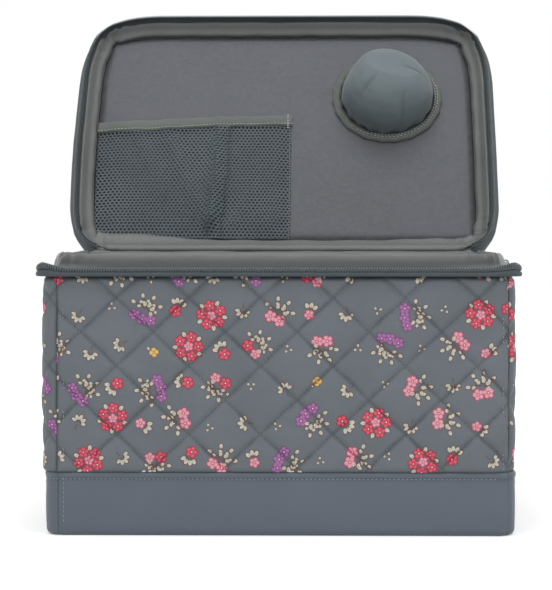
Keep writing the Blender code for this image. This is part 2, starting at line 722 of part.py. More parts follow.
def pocket_net(finish, parent, shift):
    """A sheet of diamonds, each opened by an inset, thickened away from the lining."""
    bm = bmesh.new()
    points = {}

    def point(column, row):
        if (column, row) not in points:
            x = POCKET_LEFT_X + (POCKET_RIGHT_X - POCKET_LEFT_X) * column / (2 * NET_COLUMNS)
            top = mouth_y(x)
            y = POCKET_BOTTOM_Y + (top - POCKET_BOTTOM_Y) * row / (2 * NET_ROWS)
            z = LID_FACE - CLEARANCE - pocket_lift(x, y)
            points[column, row] = bm.verts.new((x, y, z))
        return points[column, row]

    def corners(column, row):
        around = ((-1, 0), (0, -1), (1, 0), (0, 1))
        inside = []
        for dx, dy in around:
            if 0 <= column + dx <= 2 * NET_COLUMNS and 0 <= row + dy <= 2 * NET_ROWS:
                inside.append((column + dx, row + dy))
        return inside

    meshes = []
    for row in range(2 * NET_ROWS + 1):
        for column in range(2 * NET_COLUMNS + 1):
            if (row + column) % 2 == 0:
                continue
            around = corners(column, row)
            if len(around) == 4:
                meshes.append(bm.faces.new([point(*at) for at in around]))
            elif len(around) == 3:
                bm.faces.new([point(*at) for at in around])
    bm.normal_update()
    bmesh.ops.inset_individual(bm, faces=meshes, thickness=NET_STRAND / 2, use_even_offset=True)
    bmesh.ops.delete(bm, geom=meshes, context="FACES_ONLY")
    bmesh.ops.recalc_face_normals(bm, faces=bm.faces)
    if sum(face.normal.z for face in bm.faces) < 0:
        bmesh.ops.reverse_faces(bm, faces=bm.faces)
    thickened("pocket_net", moved(bm, shift), NET_THICKNESS, finish, parent)


def thickened(name, bm, thickness, finish, parent):
    """A sheet made solid on the side that its faces turn their backs to."""
    made = add_mesh(name, bm, finish, parent)
    solid = made.modifiers.new("thickness", "SOLIDIFY")
    solid.thickness = thickness
    solid.offset = -1


def pocket_binding(finish, parent, shift):
    sections = []
    for step in range(BINDING_STEPS + 1):
        x = POCKET_LEFT_X + (POCKET_RIGHT_X - POCKET_LEFT_X) * step / BINDING_STEPS
        low = mouth_y(x) - CLEARANCE
        near = LID_FACE - CLEARANCE - pocket_lift(x, low)
        far = near - BINDING_THICKNESS
        high = low - BINDING_WIDTH
        sections.append([(x, low, near), (x, low, far), (x, high, far), (x, high, near)])
    add_object("pocket_binding", moved(lofted(sections, False), shift), finish, parent)


def turned(outline, steps, middle, floor, wobble):
    """A solid of revolution that hangs down from floor, its radius eased in and out by wobble."""
    sections = []
    for radius, drop in outline:
        section = []
        for step in range(steps):
            angle = 2 * math.pi * step / steps
            reach = radius + wobble(angle, drop)
            across, along = reach * math.cos(angle), reach * math.sin(angle)
            section.append((middle[0] + across, middle[1] + along, floor - drop))
        sections.append(section)
    return lofted(sections, False)


def pincushion(cloth, binding, parent, shift):
    middle = (PINCUSHION_X, PINCUSHION_Y)
    floor = LID_FACE - CLEARANCE

    def pleats(angle, drop):
        return -PLEAT_DEPTH * math.cos(PLEATS * angle / 2) ** 2 * drop / PINCUSHION_HEIGHT

    outline = [(r * PINCUSHION_RADIUS, h * PINCUSHION_HEIGHT) for r, h in DOME_SHARES]
    outline.append((TIGHTEST_BEND, PINCUSHION_HEIGHT))
    dome = turned(outline, PINCUSHION_STEPS, middle, floor, pleats)
    add_object("pincushion", moved(dome, shift), cloth, parent)

    inner = PINCUSHION_RADIUS + CLEARANCE
    profile = rounded(inner, RING_RADIUS, 0, RING_HEIGHT, RING_HEIGHT / 2, RING_ROUND_STEPS, False)
    sections = []
    for step in range(RING_STEPS):
        angle = 2 * math.pi * step / RING_STEPS
        section = []
        for reach, drop in profile:
            across, along = reach * math.cos(angle), reach * math.sin(angle)
            section.append((middle[0] + across, middle[1] + along, floor - drop))
        sections.append(section)
    add_object("pincushion_ring", moved(lofted(sections, True), shift), binding, parent)


# The handle

def handle(cloth, lid, shift):
    """A rolled strap sewn flat at both ends, which bows up between them and flops about them."""
    axis_z = LID_TOP + CLEARANCE + HANDLE_LIFT
    hang = -(math.pi - LID_ANGLE)
    axis = add_empty("handle_axis", (0, -HINGE_Y, axis_z - HINGE_Z), lid, hang)
    curve = bpy.data.curves.new("handle", "CURVE")
    curve.dimensions = "3D"
    curve.bevel_depth = HANDLE_RADIUS
    curve.bevel_resolution = HANDLE_ROUND_STEPS
    curve.use_fill_caps = True
    line = curve.splines.new("POLY")
    line.points.add(HANDLE_STEPS)
    for step in range(HANDLE_STEPS + 1):
        share = step / HANDLE_STEPS
        # The first and last steps run level, so that each end is square to its tab.
        bowed = min(max((step - 1) / (HANDLE_STEPS - 2), 0), 1)
        rise = HANDLE_RISE * math.sin(math.pi * bowed) ** 2
        line.points[step].co = (HANDLE_SPAN * (share - 1 / 2), 0, rise, 1)
    curve.materials.append(cloth)
    strap = bpy.data.objects.new("handle", curve)
    strap.parent = axis
    bpy.context.scene.collection.objects.link(strap)
    for side, sign in (("left", -1), ("right", 1)):
        handle_tab(side, sign, cloth, lid, shift)


def handle_tab(side, sign, cloth, lid, shift):
    """The patch that a handle end is sewn under, with the end sloping down into it."""
    near = HANDLE_SPAN / 2 + CLEARANCE
    floor = LID_TOP + CLEARANCE
    ends = sorted((sign * (near + CLEARANCE), sign * (near + TAB_LENGTH)))
    patch = box((ends[0], -TAB_WIDTH / 2, floor), (ends[1], TAB_WIDTH / 2, floor + TAB_THICKNESS))
    middle = floor + TAB_THICKNESS / 2
    full = HANDLE_LIFT + HANDLE_RADIUS - TAB_THICKNESS / 2
    low = TAB_THICKNESS / 2 + CLEARANCE
    sections = []
    for along, height in ((0, full), (STUB_LENGTH, full * STUB_SHARE), (TAB_LENGTH - STUB_LENGTH, low)):
        x = sign * (near + along)
        sections.append(
            [
                (x, -HANDLE_RADIUS, middle),
                (x, HANDLE_RADIUS, middle),
                (x, HANDLE_RADIUS, middle + height / 2),
                (x, HANDLE_RADIUS / 2, middle + height),
                (x, -HANDLE_RADIUS / 2, middle + height),
                (x, -HANDLE_RADIUS, middle + height / 2),
            ]
        )
    meshes = [moved(patch, shift), moved(lofted(sections, False), shift)]
    joined("handle_tab_" + side, meshes, cloth, lid)


def main():
    for old in list(bpy.data.objects):
        bpy.data.objects.remove(old)
    finishes = {
        "quilt": material("printed quilting", (0.105, 0.145, 0.165), 0.75),
        "band": material("plain satin", (0.10, 0.14, 0.17), 0.5),
        "board": material("grey board", (0.35, 0.33, 0.30), 0.9),
        "lining": material("olive lining", (0.10, 0.11, 0.09), 0.55),
        "lid_lining": material("mauve lining", (0.13, 0.12, 0.14), 0.5),
        "tape": material("zip tape", (0.05, 0.075, 0.085), 0.8),
        "coil": material("zip coil", (0.08, 0.10, 0.10), 0.4),
        "net": material("net", (0.03, 0.05, 0.055), 0.8),
        "cushion": material("cushion cloth", (0.13, 0.18, 0.19), 0.7),
        "metal": material("slider metal", (0.25, 0.25, 0.24), 0.35, 0.9),
    }
    for side in SEAMS:
        quilted_cover(side, finishes["quilt"])
        plain_band(side, finishes["band"])
        wall_board(side, finishes["board"])
        wall_lining(side, finishes["lining"])
    floor_pieces(finishes["band"], finishes["board"], finishes["lining"])
    rim_lip(finishes["lining"])
    nowhere = (0, 0, 0)
    zip_half("case", list, -CASE_FLANGE_IN, finishes["tape"], finishes["coil"], None, nowhere)
    zip_stops(finishes["metal"])

    lid = add_empty("lid_axis", (0, HINGE_Y, HINGE_Z), turn=-LID_ANGLE)
    to_axis = (0, -HINGE_Y, -HINGE_Z)
    zip_half("lid", mirrored, LID_FLANGE_IN, finishes["tape"], finishes["coil"], lid, to_axis)
    hinge_flaps(finishes["band"], lid, to_axis)
    lid_shell(finishes, lid, to_axis)
    pocket_net(finishes["net"], lid, to_axis)
    pocket_binding(finishes["lining"], lid, to_axis)
    pincushion(finishes["cushion"], finishes["lining"], lid, to_axis)
    handle(finishes["quilt"], lid, to_axis)
    for side, sign in (("right", 1), ("left", -1)):
        axis, bar_x = slider(side, sign, finishes["metal"])
        pull(side, axis, bar_x, finishes["metal"])


main()
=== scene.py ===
# %% [markdown]
# # A soft quilted sewing box, standing open
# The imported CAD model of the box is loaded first, and stays as it is. Every soft piece is then
# made again at its true fineness, in its CAD piece's place: quilted walls, gathered rims, a coil
# zip, a net pocket and a stuffed pincushion. The CAD solids are kept plain, because they have to
# hinge, slide and collide, and cloth needs far more points than that. All lengths are metres.

# %% Load the CAD model
import math
import random

import bmesh
import bpy
import numpy as np
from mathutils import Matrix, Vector, noise


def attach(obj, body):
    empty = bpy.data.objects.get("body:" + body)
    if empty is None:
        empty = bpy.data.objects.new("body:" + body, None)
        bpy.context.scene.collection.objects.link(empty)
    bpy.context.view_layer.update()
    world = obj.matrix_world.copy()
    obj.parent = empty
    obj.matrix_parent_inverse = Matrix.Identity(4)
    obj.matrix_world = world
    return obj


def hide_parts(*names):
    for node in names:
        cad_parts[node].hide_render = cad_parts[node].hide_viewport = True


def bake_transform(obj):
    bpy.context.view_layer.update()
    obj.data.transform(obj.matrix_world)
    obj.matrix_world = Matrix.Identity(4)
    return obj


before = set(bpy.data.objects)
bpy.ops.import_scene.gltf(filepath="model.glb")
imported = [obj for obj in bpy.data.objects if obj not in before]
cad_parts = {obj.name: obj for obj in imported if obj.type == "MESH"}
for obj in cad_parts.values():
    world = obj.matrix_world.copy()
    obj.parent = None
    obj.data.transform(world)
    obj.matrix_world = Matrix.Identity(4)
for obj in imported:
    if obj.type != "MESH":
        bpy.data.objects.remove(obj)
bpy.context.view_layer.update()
MM = 0.001
print(len(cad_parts), "CAD nodes")

# %% [markdown]
# ## The outline that every wall follows
# The real box is sewn round one rounded rectangle: the walls, the band, the linings, the lip and
# the zip all follow it. Four sides and four corners could be modelled for each piece, but their
# seams would have to be matched by hand. Here a point of any piece is a distance round the box,
# an offset outwards from the quilted walls and a height, and one function turns that into a
# place. The run starts at the middle of the front and goes anticlockwise, seen from above.

# %% Sizes of the outline
HALF_WIDTH, HALF_DEPTH = 153.5 * MM, 108 * MM
CORNER = 14 * MM
FRONT_RUN, SIDE_RUN = 2 * (HALF_WIDTH - CORNER), 2 * (HALF_DEPTH - CORNER)
CORNER_RUN = CORNER * math.pi / 2
ROUND_TRIP = 2 * (FRONT_RUN + SIDE_RUN) + 4 * CORNER_RUN
BACK_MIDDLE = ROUND_TRIP / 2
ZIP_PLANE, COVER_TOP, BAND_TOP = 174 * MM, 168 * MM, 41.5 * MM
HINGE_Y, HINGE_Z = 113 * MM, 180.5 * MM
LID_ANGLE = math.radians(124.2)
LID_FACE = ZIP_PLANE + 12 * MM
print(f"once round the box is {ROUND_TRIP / MM:.0f} mm")


# %% The outline as a function
def outline(run, offset):
    """Points (x, y) of the outline at these runs, moved outwards by these offsets."""
    run, offset = np.broadcast_arrays(np.asarray(run, float), np.asarray(offset, float))
    rest = (run + FRONT_RUN / 2) % ROUND_TRIP
    x, y = np.zeros_like(rest), np.zeros_like(rest)
    start = 0.0
    for quarter, length in enumerate((FRONT_RUN, SIDE_RUN, FRONT_RUN, SIDE_RUN)):
        angle = (quarter - 1) * math.pi / 2
        out = (round(math.cos(angle)), round(math.sin(angle)))
        ahead = (-out[1], out[0])
        middle = (out[0] * HALF_WIDTH, out[1] * HALF_DEPTH)
        on = (rest >= start) & (rest <= start + length)
        along = rest - start - length / 2
        x = np.where(on, middle[0] + ahead[0] * along + out[0] * offset, x)
        y = np.where(on, middle[1] + ahead[1] * along + out[1] * offset, y)
        start += length
        on = (rest > start) & (rest < start + CORNER_RUN)
        turn = angle + (rest - start) / CORNER
        cx = (out[0] + ahead[0]) * (HALF_WIDTH - CORNER)
        cy = (out[1] + ahead[1]) * (HALF_DEPTH - CORNER)
        x = np.where(on, cx + np.cos(turn) * (CORNER + offset), x)
        y = np.where(on, cy + np.sin(turn) * (CORNER + offset), y)
        start += CORNER_RUN
    return x, y


# %% Points with their heights
def ring(run, offset, z):
    """The same points with their heights."""
    x, y = outline(run, offset)
    return np.stack(np.broadcast_arrays(x, y, np.asarray(z, float)), axis=-1)


# %% Sweeping a cross-section, and even steps
def swept(us, profile):
    """Each run paired with each point (offset, z) of a cross-section."""
    u = np.repeat(us[:, None], len(profile), axis=1)
    o, z = [np.repeat(profile[None, :, k], len(us), 0) for k in (0, 1)]
    return u, o, z


def steps(first, last, size):
    """Even steps of about this size."""
    return np.linspace(first, last, max(2, int(math.ceil(abs(last - first) / size)) + 1))


def eased(share):
    """A share from 0 to 1 that starts and ends gently."""
    return share * share * (3 - 2 * share)


def profile_lengths(profile):
    """Distances along a profile's points."""
    return np.concatenate([[0], np.cumsum(np.linalg.norm(np.diff(profile, axis=0), axis=1))])


# %% [markdown]
# ## How the open lid loses its shape
# Shut, the zip holds the lid square. Open, its padded corners draw in, its front sags and its
# sides bow. A soft body could be left to settle, but that is hard to steer towards a photograph.
# So each point of the lid passes through one formula, and all the lid's pieces change together
# and stay in touch. Only then is the lid turned open about the hinge.

# %% The drawn-in shape
# How far each corner of the lid reaches along its two sides, and how square the corner is:
# 2 is an ellipse, and a high number is nearly a right angle.
FRONT_CORNER, FRONT_NOW, FRONT_WANTED = (68.8 * MM, 78.4 * MM), 9.5, 3.1
BACK_CORNER, BACK_NOW, BACK_WANTED = (24 * MM, 43 * MM), 4.0, 2.05
DRAWN_IN = 0.92
LID_EDGE = 3.5 * MM
LEFT_BOW, RIGHT_BOW, BOW_Y, BOW_REACH = 2.0 * MM, 0.4 * MM, 20 * MM, 60 * MM
SAG, SAG_START, SAG_REACH = 2.2 * MM, 50 * MM, 60 * MM


# %% Drawing the corners in
def drawn_in(points):
    """The open lid isn't held square by the zip, so that its corners draw in and its front sags."""
    x, y, z = points[..., 0], points[..., 1], points[..., 2]
    front = y < 0
    wide, deep = HALF_WIDTH + LID_EDGE, HALF_DEPTH + LID_EDGE
    reach_x = np.where(front, FRONT_CORNER[0], BACK_CORNER[0])
    reach_y = np.where(front, FRONT_CORNER[1], BACK_CORNER[1])
    outward = np.abs(y) + np.where(front, 0, 0.4 * (z - ZIP_PLANE - 3 * MM))
    s = np.clip((np.abs(x) - wide + reach_x) / reach_x, 0, 1.3)
    t = np.clip((outward - deep + reach_y) / reach_y, 0, 1.3)
    length = np.maximum(np.hypot(s, t), 1e-9)
    c, d = np.where(length > 1e-6, s / length, 1), t / length

    def edge(square):
        return (c**square + d**square) ** (-1 / square)

    now = edge(np.where(front, FRONT_NOW, BACK_NOW))
    wanted = edge(np.where(front, FRONT_WANTED, BACK_WANTED))
    share = np.clip(length / now, 0, 1.12) ** 2
    shrink = DRAWN_IN * (1 - wanted / now) * share * (s > 0) * (t > 0)
    side = np.clip(np.abs(x) / wide, 0, 1) ** 3
    bow = np.where(x < 0, LEFT_BOW, RIGHT_BOW) * np.exp(-(((y - BOW_Y) / BOW_REACH) ** 2)) * side
    sag = SAG * np.clip((-y - SAG_START) / SAG_REACH, 0, 1) ** 2
    x = np.sign(x) * (np.abs(x) - reach_x * s * shrink + bow)
    y = np.sign(y) * (np.abs(y) - reach_y * t * shrink) + sag
    return np.stack([x, y, z], axis=-1)


# %% Turning the lid open
def opened(points, soft=True):
    """Points of the shut lid, turned open about the hinge."""
    points = drawn_in(points) if soft else points
    y, z = points[..., 1] - HINGE_Y, points[..., 2] - HINGE_Z
    c, s = math.cos(LID_ANGLE), math.sin(LID_ANGLE)
    return np.stack([points[..., 0], HINGE_Y + c * y + s * z, HINGE_Z - s * y + c * z], axis=-1)


# %% [markdown]
# ## Slackness
# No cloth lies quite flat. Sculpting each dent by hand would take long and couldn't be repeated,
# so smooth noise moves the points a little, and a second measure says how near a corner is,
# where cloth gathers.

# %% Noise and corners
GATHER_REACH = 38 * MM


def corner_near(run):
    """1 in the middle of a corner, 0 a short way along a straight run."""
    rest = (np.asarray(run, float) + FRONT_RUN / 2) % ROUND_TRIP
    near = np.full(rest.shape, 1e9)
    middle = -CORNER_RUN / 2
    for length in (FRONT_RUN, SIDE_RUN, FRONT_RUN, SIDE_RUN):
        middle += CORNER_RUN + length
        gap = np.abs(rest - middle)
        near = np.minimum(near, np.minimum(gap, ROUND_TRIP - gap))
    return np.clip(1 - near / GATHER_REACH, 0, 1) ** 1.4


def ripple(points, size, seed=0.0):
    """Smooth noise at each point, about -1 to 1, with features of this size."""
    flat = points.reshape(-1, 3) / size + seed
    values = [noise.noise(Vector(point)) for point in flat]
    return np.array(values).reshape(points.shape[:-1])


# %% [markdown]
# ## Cloth as a grid
# A cut piece of cloth is flat, and its weave runs along it. A mesh could be unwrapped once it is
# shaped, but here most pieces start as a grid, so their UV maps simply hold real lengths, and a
# weave keeps its scale from piece to piece. The net, the handle and the stitches are built
# otherwise, further down.

# %% Making meshes
def placed(name, data):
    made = bpy.data.objects.new(name, data)
    bpy.context.scene.collection.objects.link(made)
    return made


def add_mesh(name, verts, faces, finish, loop_uvs=None):
    mesh = bpy.data.meshes.new(name)
    mesh.from_pydata([tuple(v) for v in verts], [], faces)
    if loop_uvs is not None:
        layer = mesh.uv_layers.new(name="cloth")
        layer.data.foreach_set("uv", np.asarray(loop_uvs, np.float32).ravel())
    mesh.polygons.foreach_set("use_smooth", [True] * len(mesh.polygons))
    mesh.materials.append(finish)
    mesh.update()
    return placed(name, mesh)


# %% A grid of cloth
def cloth_grid(name, points, us, vs, finish, wrap_u=False, wrap_v=False, shade=None):
    """A grid of quads through points[u, v], joined round on itself where asked.

    shade is 0 to 1 at each point: how deep it lies in a seam or fold, where little light gets in.
    """
    nu, nv = points.shape[:2]
    iu = np.arange(nu if wrap_u else nu - 1)
    iv = np.arange(nv if wrap_v else nv - 1)
    a, b = [grid.ravel() for grid in np.meshgrid(iu, iv, indexing="ij")]
    a1, b1 = a + 1, b + 1
    corners = [a * nv + b, (a1 % nu) * nv + b, (a1 % nu) * nv + b1 % nv, a * nv + b1 % nv]
    us = np.append(us, 2 * us[-1] - us[-2]) if wrap_u else us
    vs = np.append(vs, 2 * vs[-1] - vs[-2]) if wrap_v else vs
    uv = np.stack([us[a], vs[b], us[a1], vs[b], us[a1], vs[b1], us[a], vs[b1]], axis=1)
    made = add_mesh(name, points.reshape(-1, 3), np.stack(corners, axis=1).tolist(), finish, uv)
    if shade is not None:
        layer = made.data.attributes.new("shade", "FLOAT", "POINT")
        layer.data.foreach_set("value", np.clip(shade, 0, 1).astype(np.float32).ravel())
    return made


# %% Keeping what modifiers make
def kept_as_mesh(made):
    """Turns what an object's modifiers make into its plain mesh."""
    bpy.context.view_layer.update()
    done = bpy.data.meshes.new_from_object(made.evaluated_get(bpy.context.evaluated_depsgraph_get()))
    made.modifiers.clear()
    made.data = done
    return made


# %% [markdown]
# ## What each piece is, and what it stands for
# Each real piece of cloth was cut flat before it was sewn, and that size is printed for the piece.
# It could be measured on the finished mesh, but folds and bends would blur it, so it is worked
# out from the run and the cross-section. Each piece is also put on the body that carries it, and
# the CAD pieces that it takes the place of are hidden.

# %% Helpers for every piece
def declare(piece, width, length, held):
    """Prints the flat size that a piece was cut to, and how it is held."""
    print(f"{piece.name}: cut {width / MM:.0f} x {length / MM:.0f} mm, {held}")


def finish_off(piece, body, *nodes, slot):
    """Puts a piece on its body, and hides the CAD pieces that it stands for."""
    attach(piece, body)
    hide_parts(*nodes)
    print(f"{piece.name}: {len(piece.data.vertices)} points, moves with {body}")


# %% [markdown]
# ## Finishes
# A photograph could be wrapped round each piece, but it would carry its own light and repeat.
# Each finish is built of nodes instead, so that it has real scale: a weave, a slow change of
# tone, and the sheen of its cloth.

# %% Nodes in few words
class Nodes:
    """Builds one node material in few words."""

    def __init__(self, name, roughness=0.7, metallic=0.0, sheen=0.0):
        self.material = bpy.data.materials.new(name)
        self.material.use_nodes = True
        self.tree = self.material.node_tree
        self.shader = self.tree.nodes["Principled BSDF"]
        self.set("Roughness", roughness)
        self.set("Metallic", metallic)
        self.set("Sheen Weight", sheen)
        self.set("Sheen Roughness", 0.4)

    def feed(self, socket, value):
        if isinstance(value, bpy.types.NodeSocket):
            self.tree.links.new(value, socket)
        elif value is not None:
            socket.default_value = value

    def set(self, name, value):
        self.feed(self.shader.inputs[name], value)

    def put(self, node, slots, values):
        for slot, value in zip(slots, values):
            self.feed(node.inputs[slot], value)
        return node

    def math(self, operation, a, b=None):
        node = self.tree.nodes.new("ShaderNodeMath")
        node.operation = operation
        return self.put(node, (0, 1), (a, b)).outputs[0]

    def ramp(self, value, low, high, to_low=0.0, to_high=1.0):
        node = self.tree.nodes.new("ShaderNodeMapRange")
        node.interpolation_type = "SMOOTHSTEP"
        return self.put(node, range(5), (value, low, high, to_low, to_high)).outputs[0]

    def mix(self, share, a, b):
        node = self.tree.nodes.new("ShaderNodeMix")
        node.data_type = "RGBA"
        self.put(node, (0,), (share,))
        colours = {socket.name: socket for socket in node.inputs if socket.type == "RGBA"}
        for name, value in (("A", a), ("B", b)):
            self.feed(colours[name], (*value, 1) if isinstance(value, tuple) else value)
        return [socket for socket in node.outputs if socket.type == "RGBA"][0]

    def coordinates(self, kind="UV"):
        return self.tree.nodes.new("ShaderNodeTexCoord").outputs[kind]

    def split(self, vector):
        node = self.tree.nodes.new("ShaderNodeSeparateXYZ")
        self.tree.links.new(vector, node.inputs[0])
        return node.outputs[0], node.outputs[1]

    def noise(self, vector, scale, detail=3.0):
        node = self.tree.nodes.new("ShaderNodeTexNoise")
        return self.put(node, ("Vector", "Scale", "Detail"), (vector, scale, detail)).outputs[0]

    def attribute(self, name, output="Color"):
        node = self.tree.nodes.new("ShaderNodeAttribute")
        node.attribute_name = name
        return node.outputs[output]

    def bump(self, height, distance, strength, below=None):
        node = self.tree.nodes.new("ShaderNodeBump")
        slots = ("Height", "Distance", "Strength", "Normal")
        return self.put(node, slots, (height, distance, strength, below)).outputs[0]


# %% Colours as a shader takes them
def linear(colour):
    """Screen colours, 0 to 255, as the linear values that a shader takes."""
    shares = [c / 255 for c in colour]
    return tuple(c / 12.92 if c <= 0.04045 else ((c + 0.055) / 1.055) ** 2.4 for c in shares)


# %% [markdown]
# ## Woven cloth
# The box's cloths are all plain weaves, which differ in colour, sheen and thread. One function
# makes them, because two crossed waves give a weave at any pitch. The weave is too fine to be
# modelled, so it is a bump, and the mesh's own attribute paints shade into what lies deep in a fold.

# %% A woven finish
def woven(name, colour, roughness=0.7, sheen=0.25, pitch=0.45 * MM, grain=0.06, tone=0.10, extra=None):
    """Cloth with a plain weave, whose tone drifts slowly as worn or pressed cloth does."""
    n = Nodes(name, roughness, sheen=sheen)
    u, v = n.split(n.coordinates("UV"))
    warp = n.math("SINE", n.math("MULTIPLY", u, 2 * math.pi / pitch))
    weft = n.math("SINE", n.math("MULTIPLY", v, 2 * math.pi / pitch))
    weave = n.math("MULTIPLY", warp, weft)
    solid = n.coordinates("Object")
    drift = n.noise(solid, 26.0, 3.0)
    fine = n.noise(solid, 420.0, 2.0)
    shade = n.math("ADD", n.math("MULTIPLY", drift, tone), n.math("MULTIPLY", fine, tone * 0.6))
    shade = n.math("ADD", shade, n.math("MULTIPLY", weave, 0.02))
    dark = tuple(c * (1 - tone * 0.9) for c in linear(colour))
    light = tuple(min(1.0, c * (1 + tone * 0.9)) for c in linear(colour))
    base = n.mix(n.ramp(shade, tone * 0.45, tone * 1.15), dark, light)
    # Painted shade: the mesh's shade attribute darkens the colour in seams and folds.
    painted_shade_colour = tuple(c * 0.16 for c in linear(colour))
    base = n.mix(n.math("MULTIPLY", n.attribute("shade", "Fac"), 0.85), base, painted_shade_colour)
    n.set("Base Color", extra(n, base, u, v) if extra else base)
    n.set("Roughness", n.ramp(fine, 0.3, 0.7, roughness - 0.06, roughness + 0.06))
    fibre = n.noise(solid, 1500.0, 2.0)
    height = n.math("ADD", n.math("MULTIPLY", weave, 0.5), fibre)
    broad = n.bump(drift, 1.2 * MM, 0.5)
    n.set("Normal", n.bump(height, grain * MM, 0.6, broad))
    return n.material


# %% [markdown]
# ## Quilting lines
# The real stitches cross the cloth in diamonds and pull it in. The mesh has that relief, but the
# thread itself and the shade beside it are far finer, so the finish draws them. Both use the
# same diamond, and the drawn lines wander a little, as a quilting machine's do.

# %% Lines of the quilting
DIAMOND_WIDTH, DIAMOND_HEIGHT = 46.5 * MM, 44 * MM
LINE_GAP = 1 / math.hypot(1 / DIAMOND_WIDTH, 1 / DIAMOND_HEIGHT)
STITCHES_A_SIDE = 11.0
SEAM_SHADE, SEAM_THREAD = (66, 74, 78), (56, 66, 70)


def quilting_lines(n, base, u, v):
    """Paints shade into the seams of the quilting and draws their thread."""
    solid = n.coordinates("Object")
    across, up = n.math("DIVIDE", u, DIAMOND_WIDTH), n.math("DIVIDE", v, DIAMOND_HEIGHT)
    seam_shade_share = n.ramp(n.noise(solid, 70.0, 2.0), 0.35, 0.68, 0.25, 1.0)
    wander = n.math("MULTIPLY", n.math("SUBTRACT", n.noise(solid, 55.0, 2.0), 0.5), 0.07)
    across = n.math("ADD", across, wander)
    for sign in (1, -1):
        line = n.math("ADD", across, n.math("MULTIPLY", up, sign))
        other = n.math("SUBTRACT", across, n.math("MULTIPLY", up, sign))
        part = n.math("SUBTRACT", n.math("FRACT", n.math("ADD", line, 0.5)), 0.5)
        gap = n.math("MULTIPLY", n.math("ABSOLUTE", part), LINE_GAP)
        # Painted shade beside each seam line, with a strength that wanders with noise.
        near = n.math("MULTIPLY", n.ramp(gap, 0.2 * MM, 2.6 * MM, 1, 0), 0.50)
        base = n.mix(n.math("MULTIPLY", near, seam_shade_share), base, linear(SEAM_SHADE))
        dash = n.math("LESS_THAN", n.math("FRACT", n.math("MULTIPLY", other, STITCHES_A_SIDE)), 0.68)
        sewn = n.math("MULTIPLY", n.ramp(gap, 0.28 * MM, 0.5 * MM, 1, 0), dash)
        base = n.mix(n.math("MULTIPLY", sewn, 0.42), base, linear(SEAM_THREAD))
    return base


# %% [markdown]
# ## Metal, nylon and ink
# The sliders are dull plated metal, the zip's coil is nylon, and the print is ink that has sunk
# into the cloth. None of them is quite even, so a little noise changes each one's tone.

# %% Metal, nylon and ink
def plain_metal(name, colour, roughness):
    n = Nodes(name, roughness, metallic=0.9)
    solid = n.coordinates("Object")
    worn = n.noise(solid, 180.0, 4.0)
    scuffed = tuple(c * 0.6 for c in linear(colour))
    n.set("Base Color", n.mix(n.ramp(worn, 0.35, 0.75), linear(colour), scuffed))
    n.set("Roughness", n.ramp(worn, 0.3, 0.7, roughness - 0.08, roughness + 0.14))
    n.set("Normal", n.bump(n.noise(solid, 900.0, 2.0), 0.03 * MM, 0.5))
    return n.material


def coil_plastic():
    n = Nodes("zip_coil", 0.42)
    solid = n.coordinates("Object")
    n.set("Base Color", n.mix(n.noise(solid, 300.0, 2.0), linear((98, 106, 108)), linear((116, 122, 120))))
    n.set("Normal", n.bump(n.noise(solid, 1800.0, 2.0), 0.02 * MM, 0.4))
    return n.material


def print_ink():
    """The print takes its colours from the mesh, and is worn thin in small spots."""
    n = Nodes("print_ink", 0.72, sheen=0.15)
    solid = n.coordinates("Object")
    worn = n.ramp(n.noise(solid, 900.0, 2.0), 0.45, 0.8, 0.0, 0.22)
    n.set("Base Color", n.mix(worn, n.attribute("ink"), linear((120, 124, 128))))
    n.set("Normal", n.bump(n.noise(solid, 1500.0, 2.0), 0.05 * MM, 0.5))
    return n.material


# %% All the finishes
finishes = {
    "quilt": woven("quilted_cloth", (105, 112, 118), 0.66, 0.3, extra=quilting_lines),
    "satin": woven("plain_satin", (94, 103, 114), 0.55, 0.3, pitch=0.3 * MM, tone=0.06),
    "olive": woven("olive_lining", (84, 88, 85), 0.42, 0.35, pitch=0.35 * MM, tone=0.12),
    "mauve": woven("mauve_lining", (75, 78, 84), 0.6, 0.3, pitch=0.35 * MM, tone=0.07),
    "tape": woven("zip_tape", (70, 80, 84), 0.8, 0.1, pitch=0.8 * MM, grain=0.12),
    "net": woven("net_yarn", (84, 94, 100), 0.75, 0.15, pitch=0.3 * MM, tone=0.2),
    "binding": woven("binding", (92, 97, 92), 0.7, 0.15, pitch=0.6 * MM, grain=0.12, tone=0.14),
    "cushion": woven("cushion_cloth", (96, 107, 111), 0.68, 0.3, pitch=0.35 * MM, tone=0.08),
    "thread": woven("light_thread", (150, 160, 166), 0.6, 0.1, pitch=0.2 * MM),
    "white_thread": woven("pale_thread", (196, 200, 200), 0.6, 0.1, pitch=0.2 * MM),
    "olive_thread": woven("olive_thread", (138, 142, 134), 0.6, 0.1, pitch=0.2 * MM),
    "board": woven("grey_board", (150, 146, 138), 0.9, 0.0, pitch=1.5 * MM, grain=0.1),
    "metal": plain_metal("slider_metal", (132, 134, 132), 0.38),
    "coil": coil_plastic(),
    "ink": print_ink(),
}
print(len(finishes), "finishes")

# %% [markdown]
# ## Stitches and zip coils
# A sewing machine's stitches and a zip's nylon coil repeat along a path. Copies could be placed
# in a loop, but geometry nodes do it in one pass and keep the sizes as named inputs. One tree
# lays a stitch at every step of a path, and the other winds a wire round it.

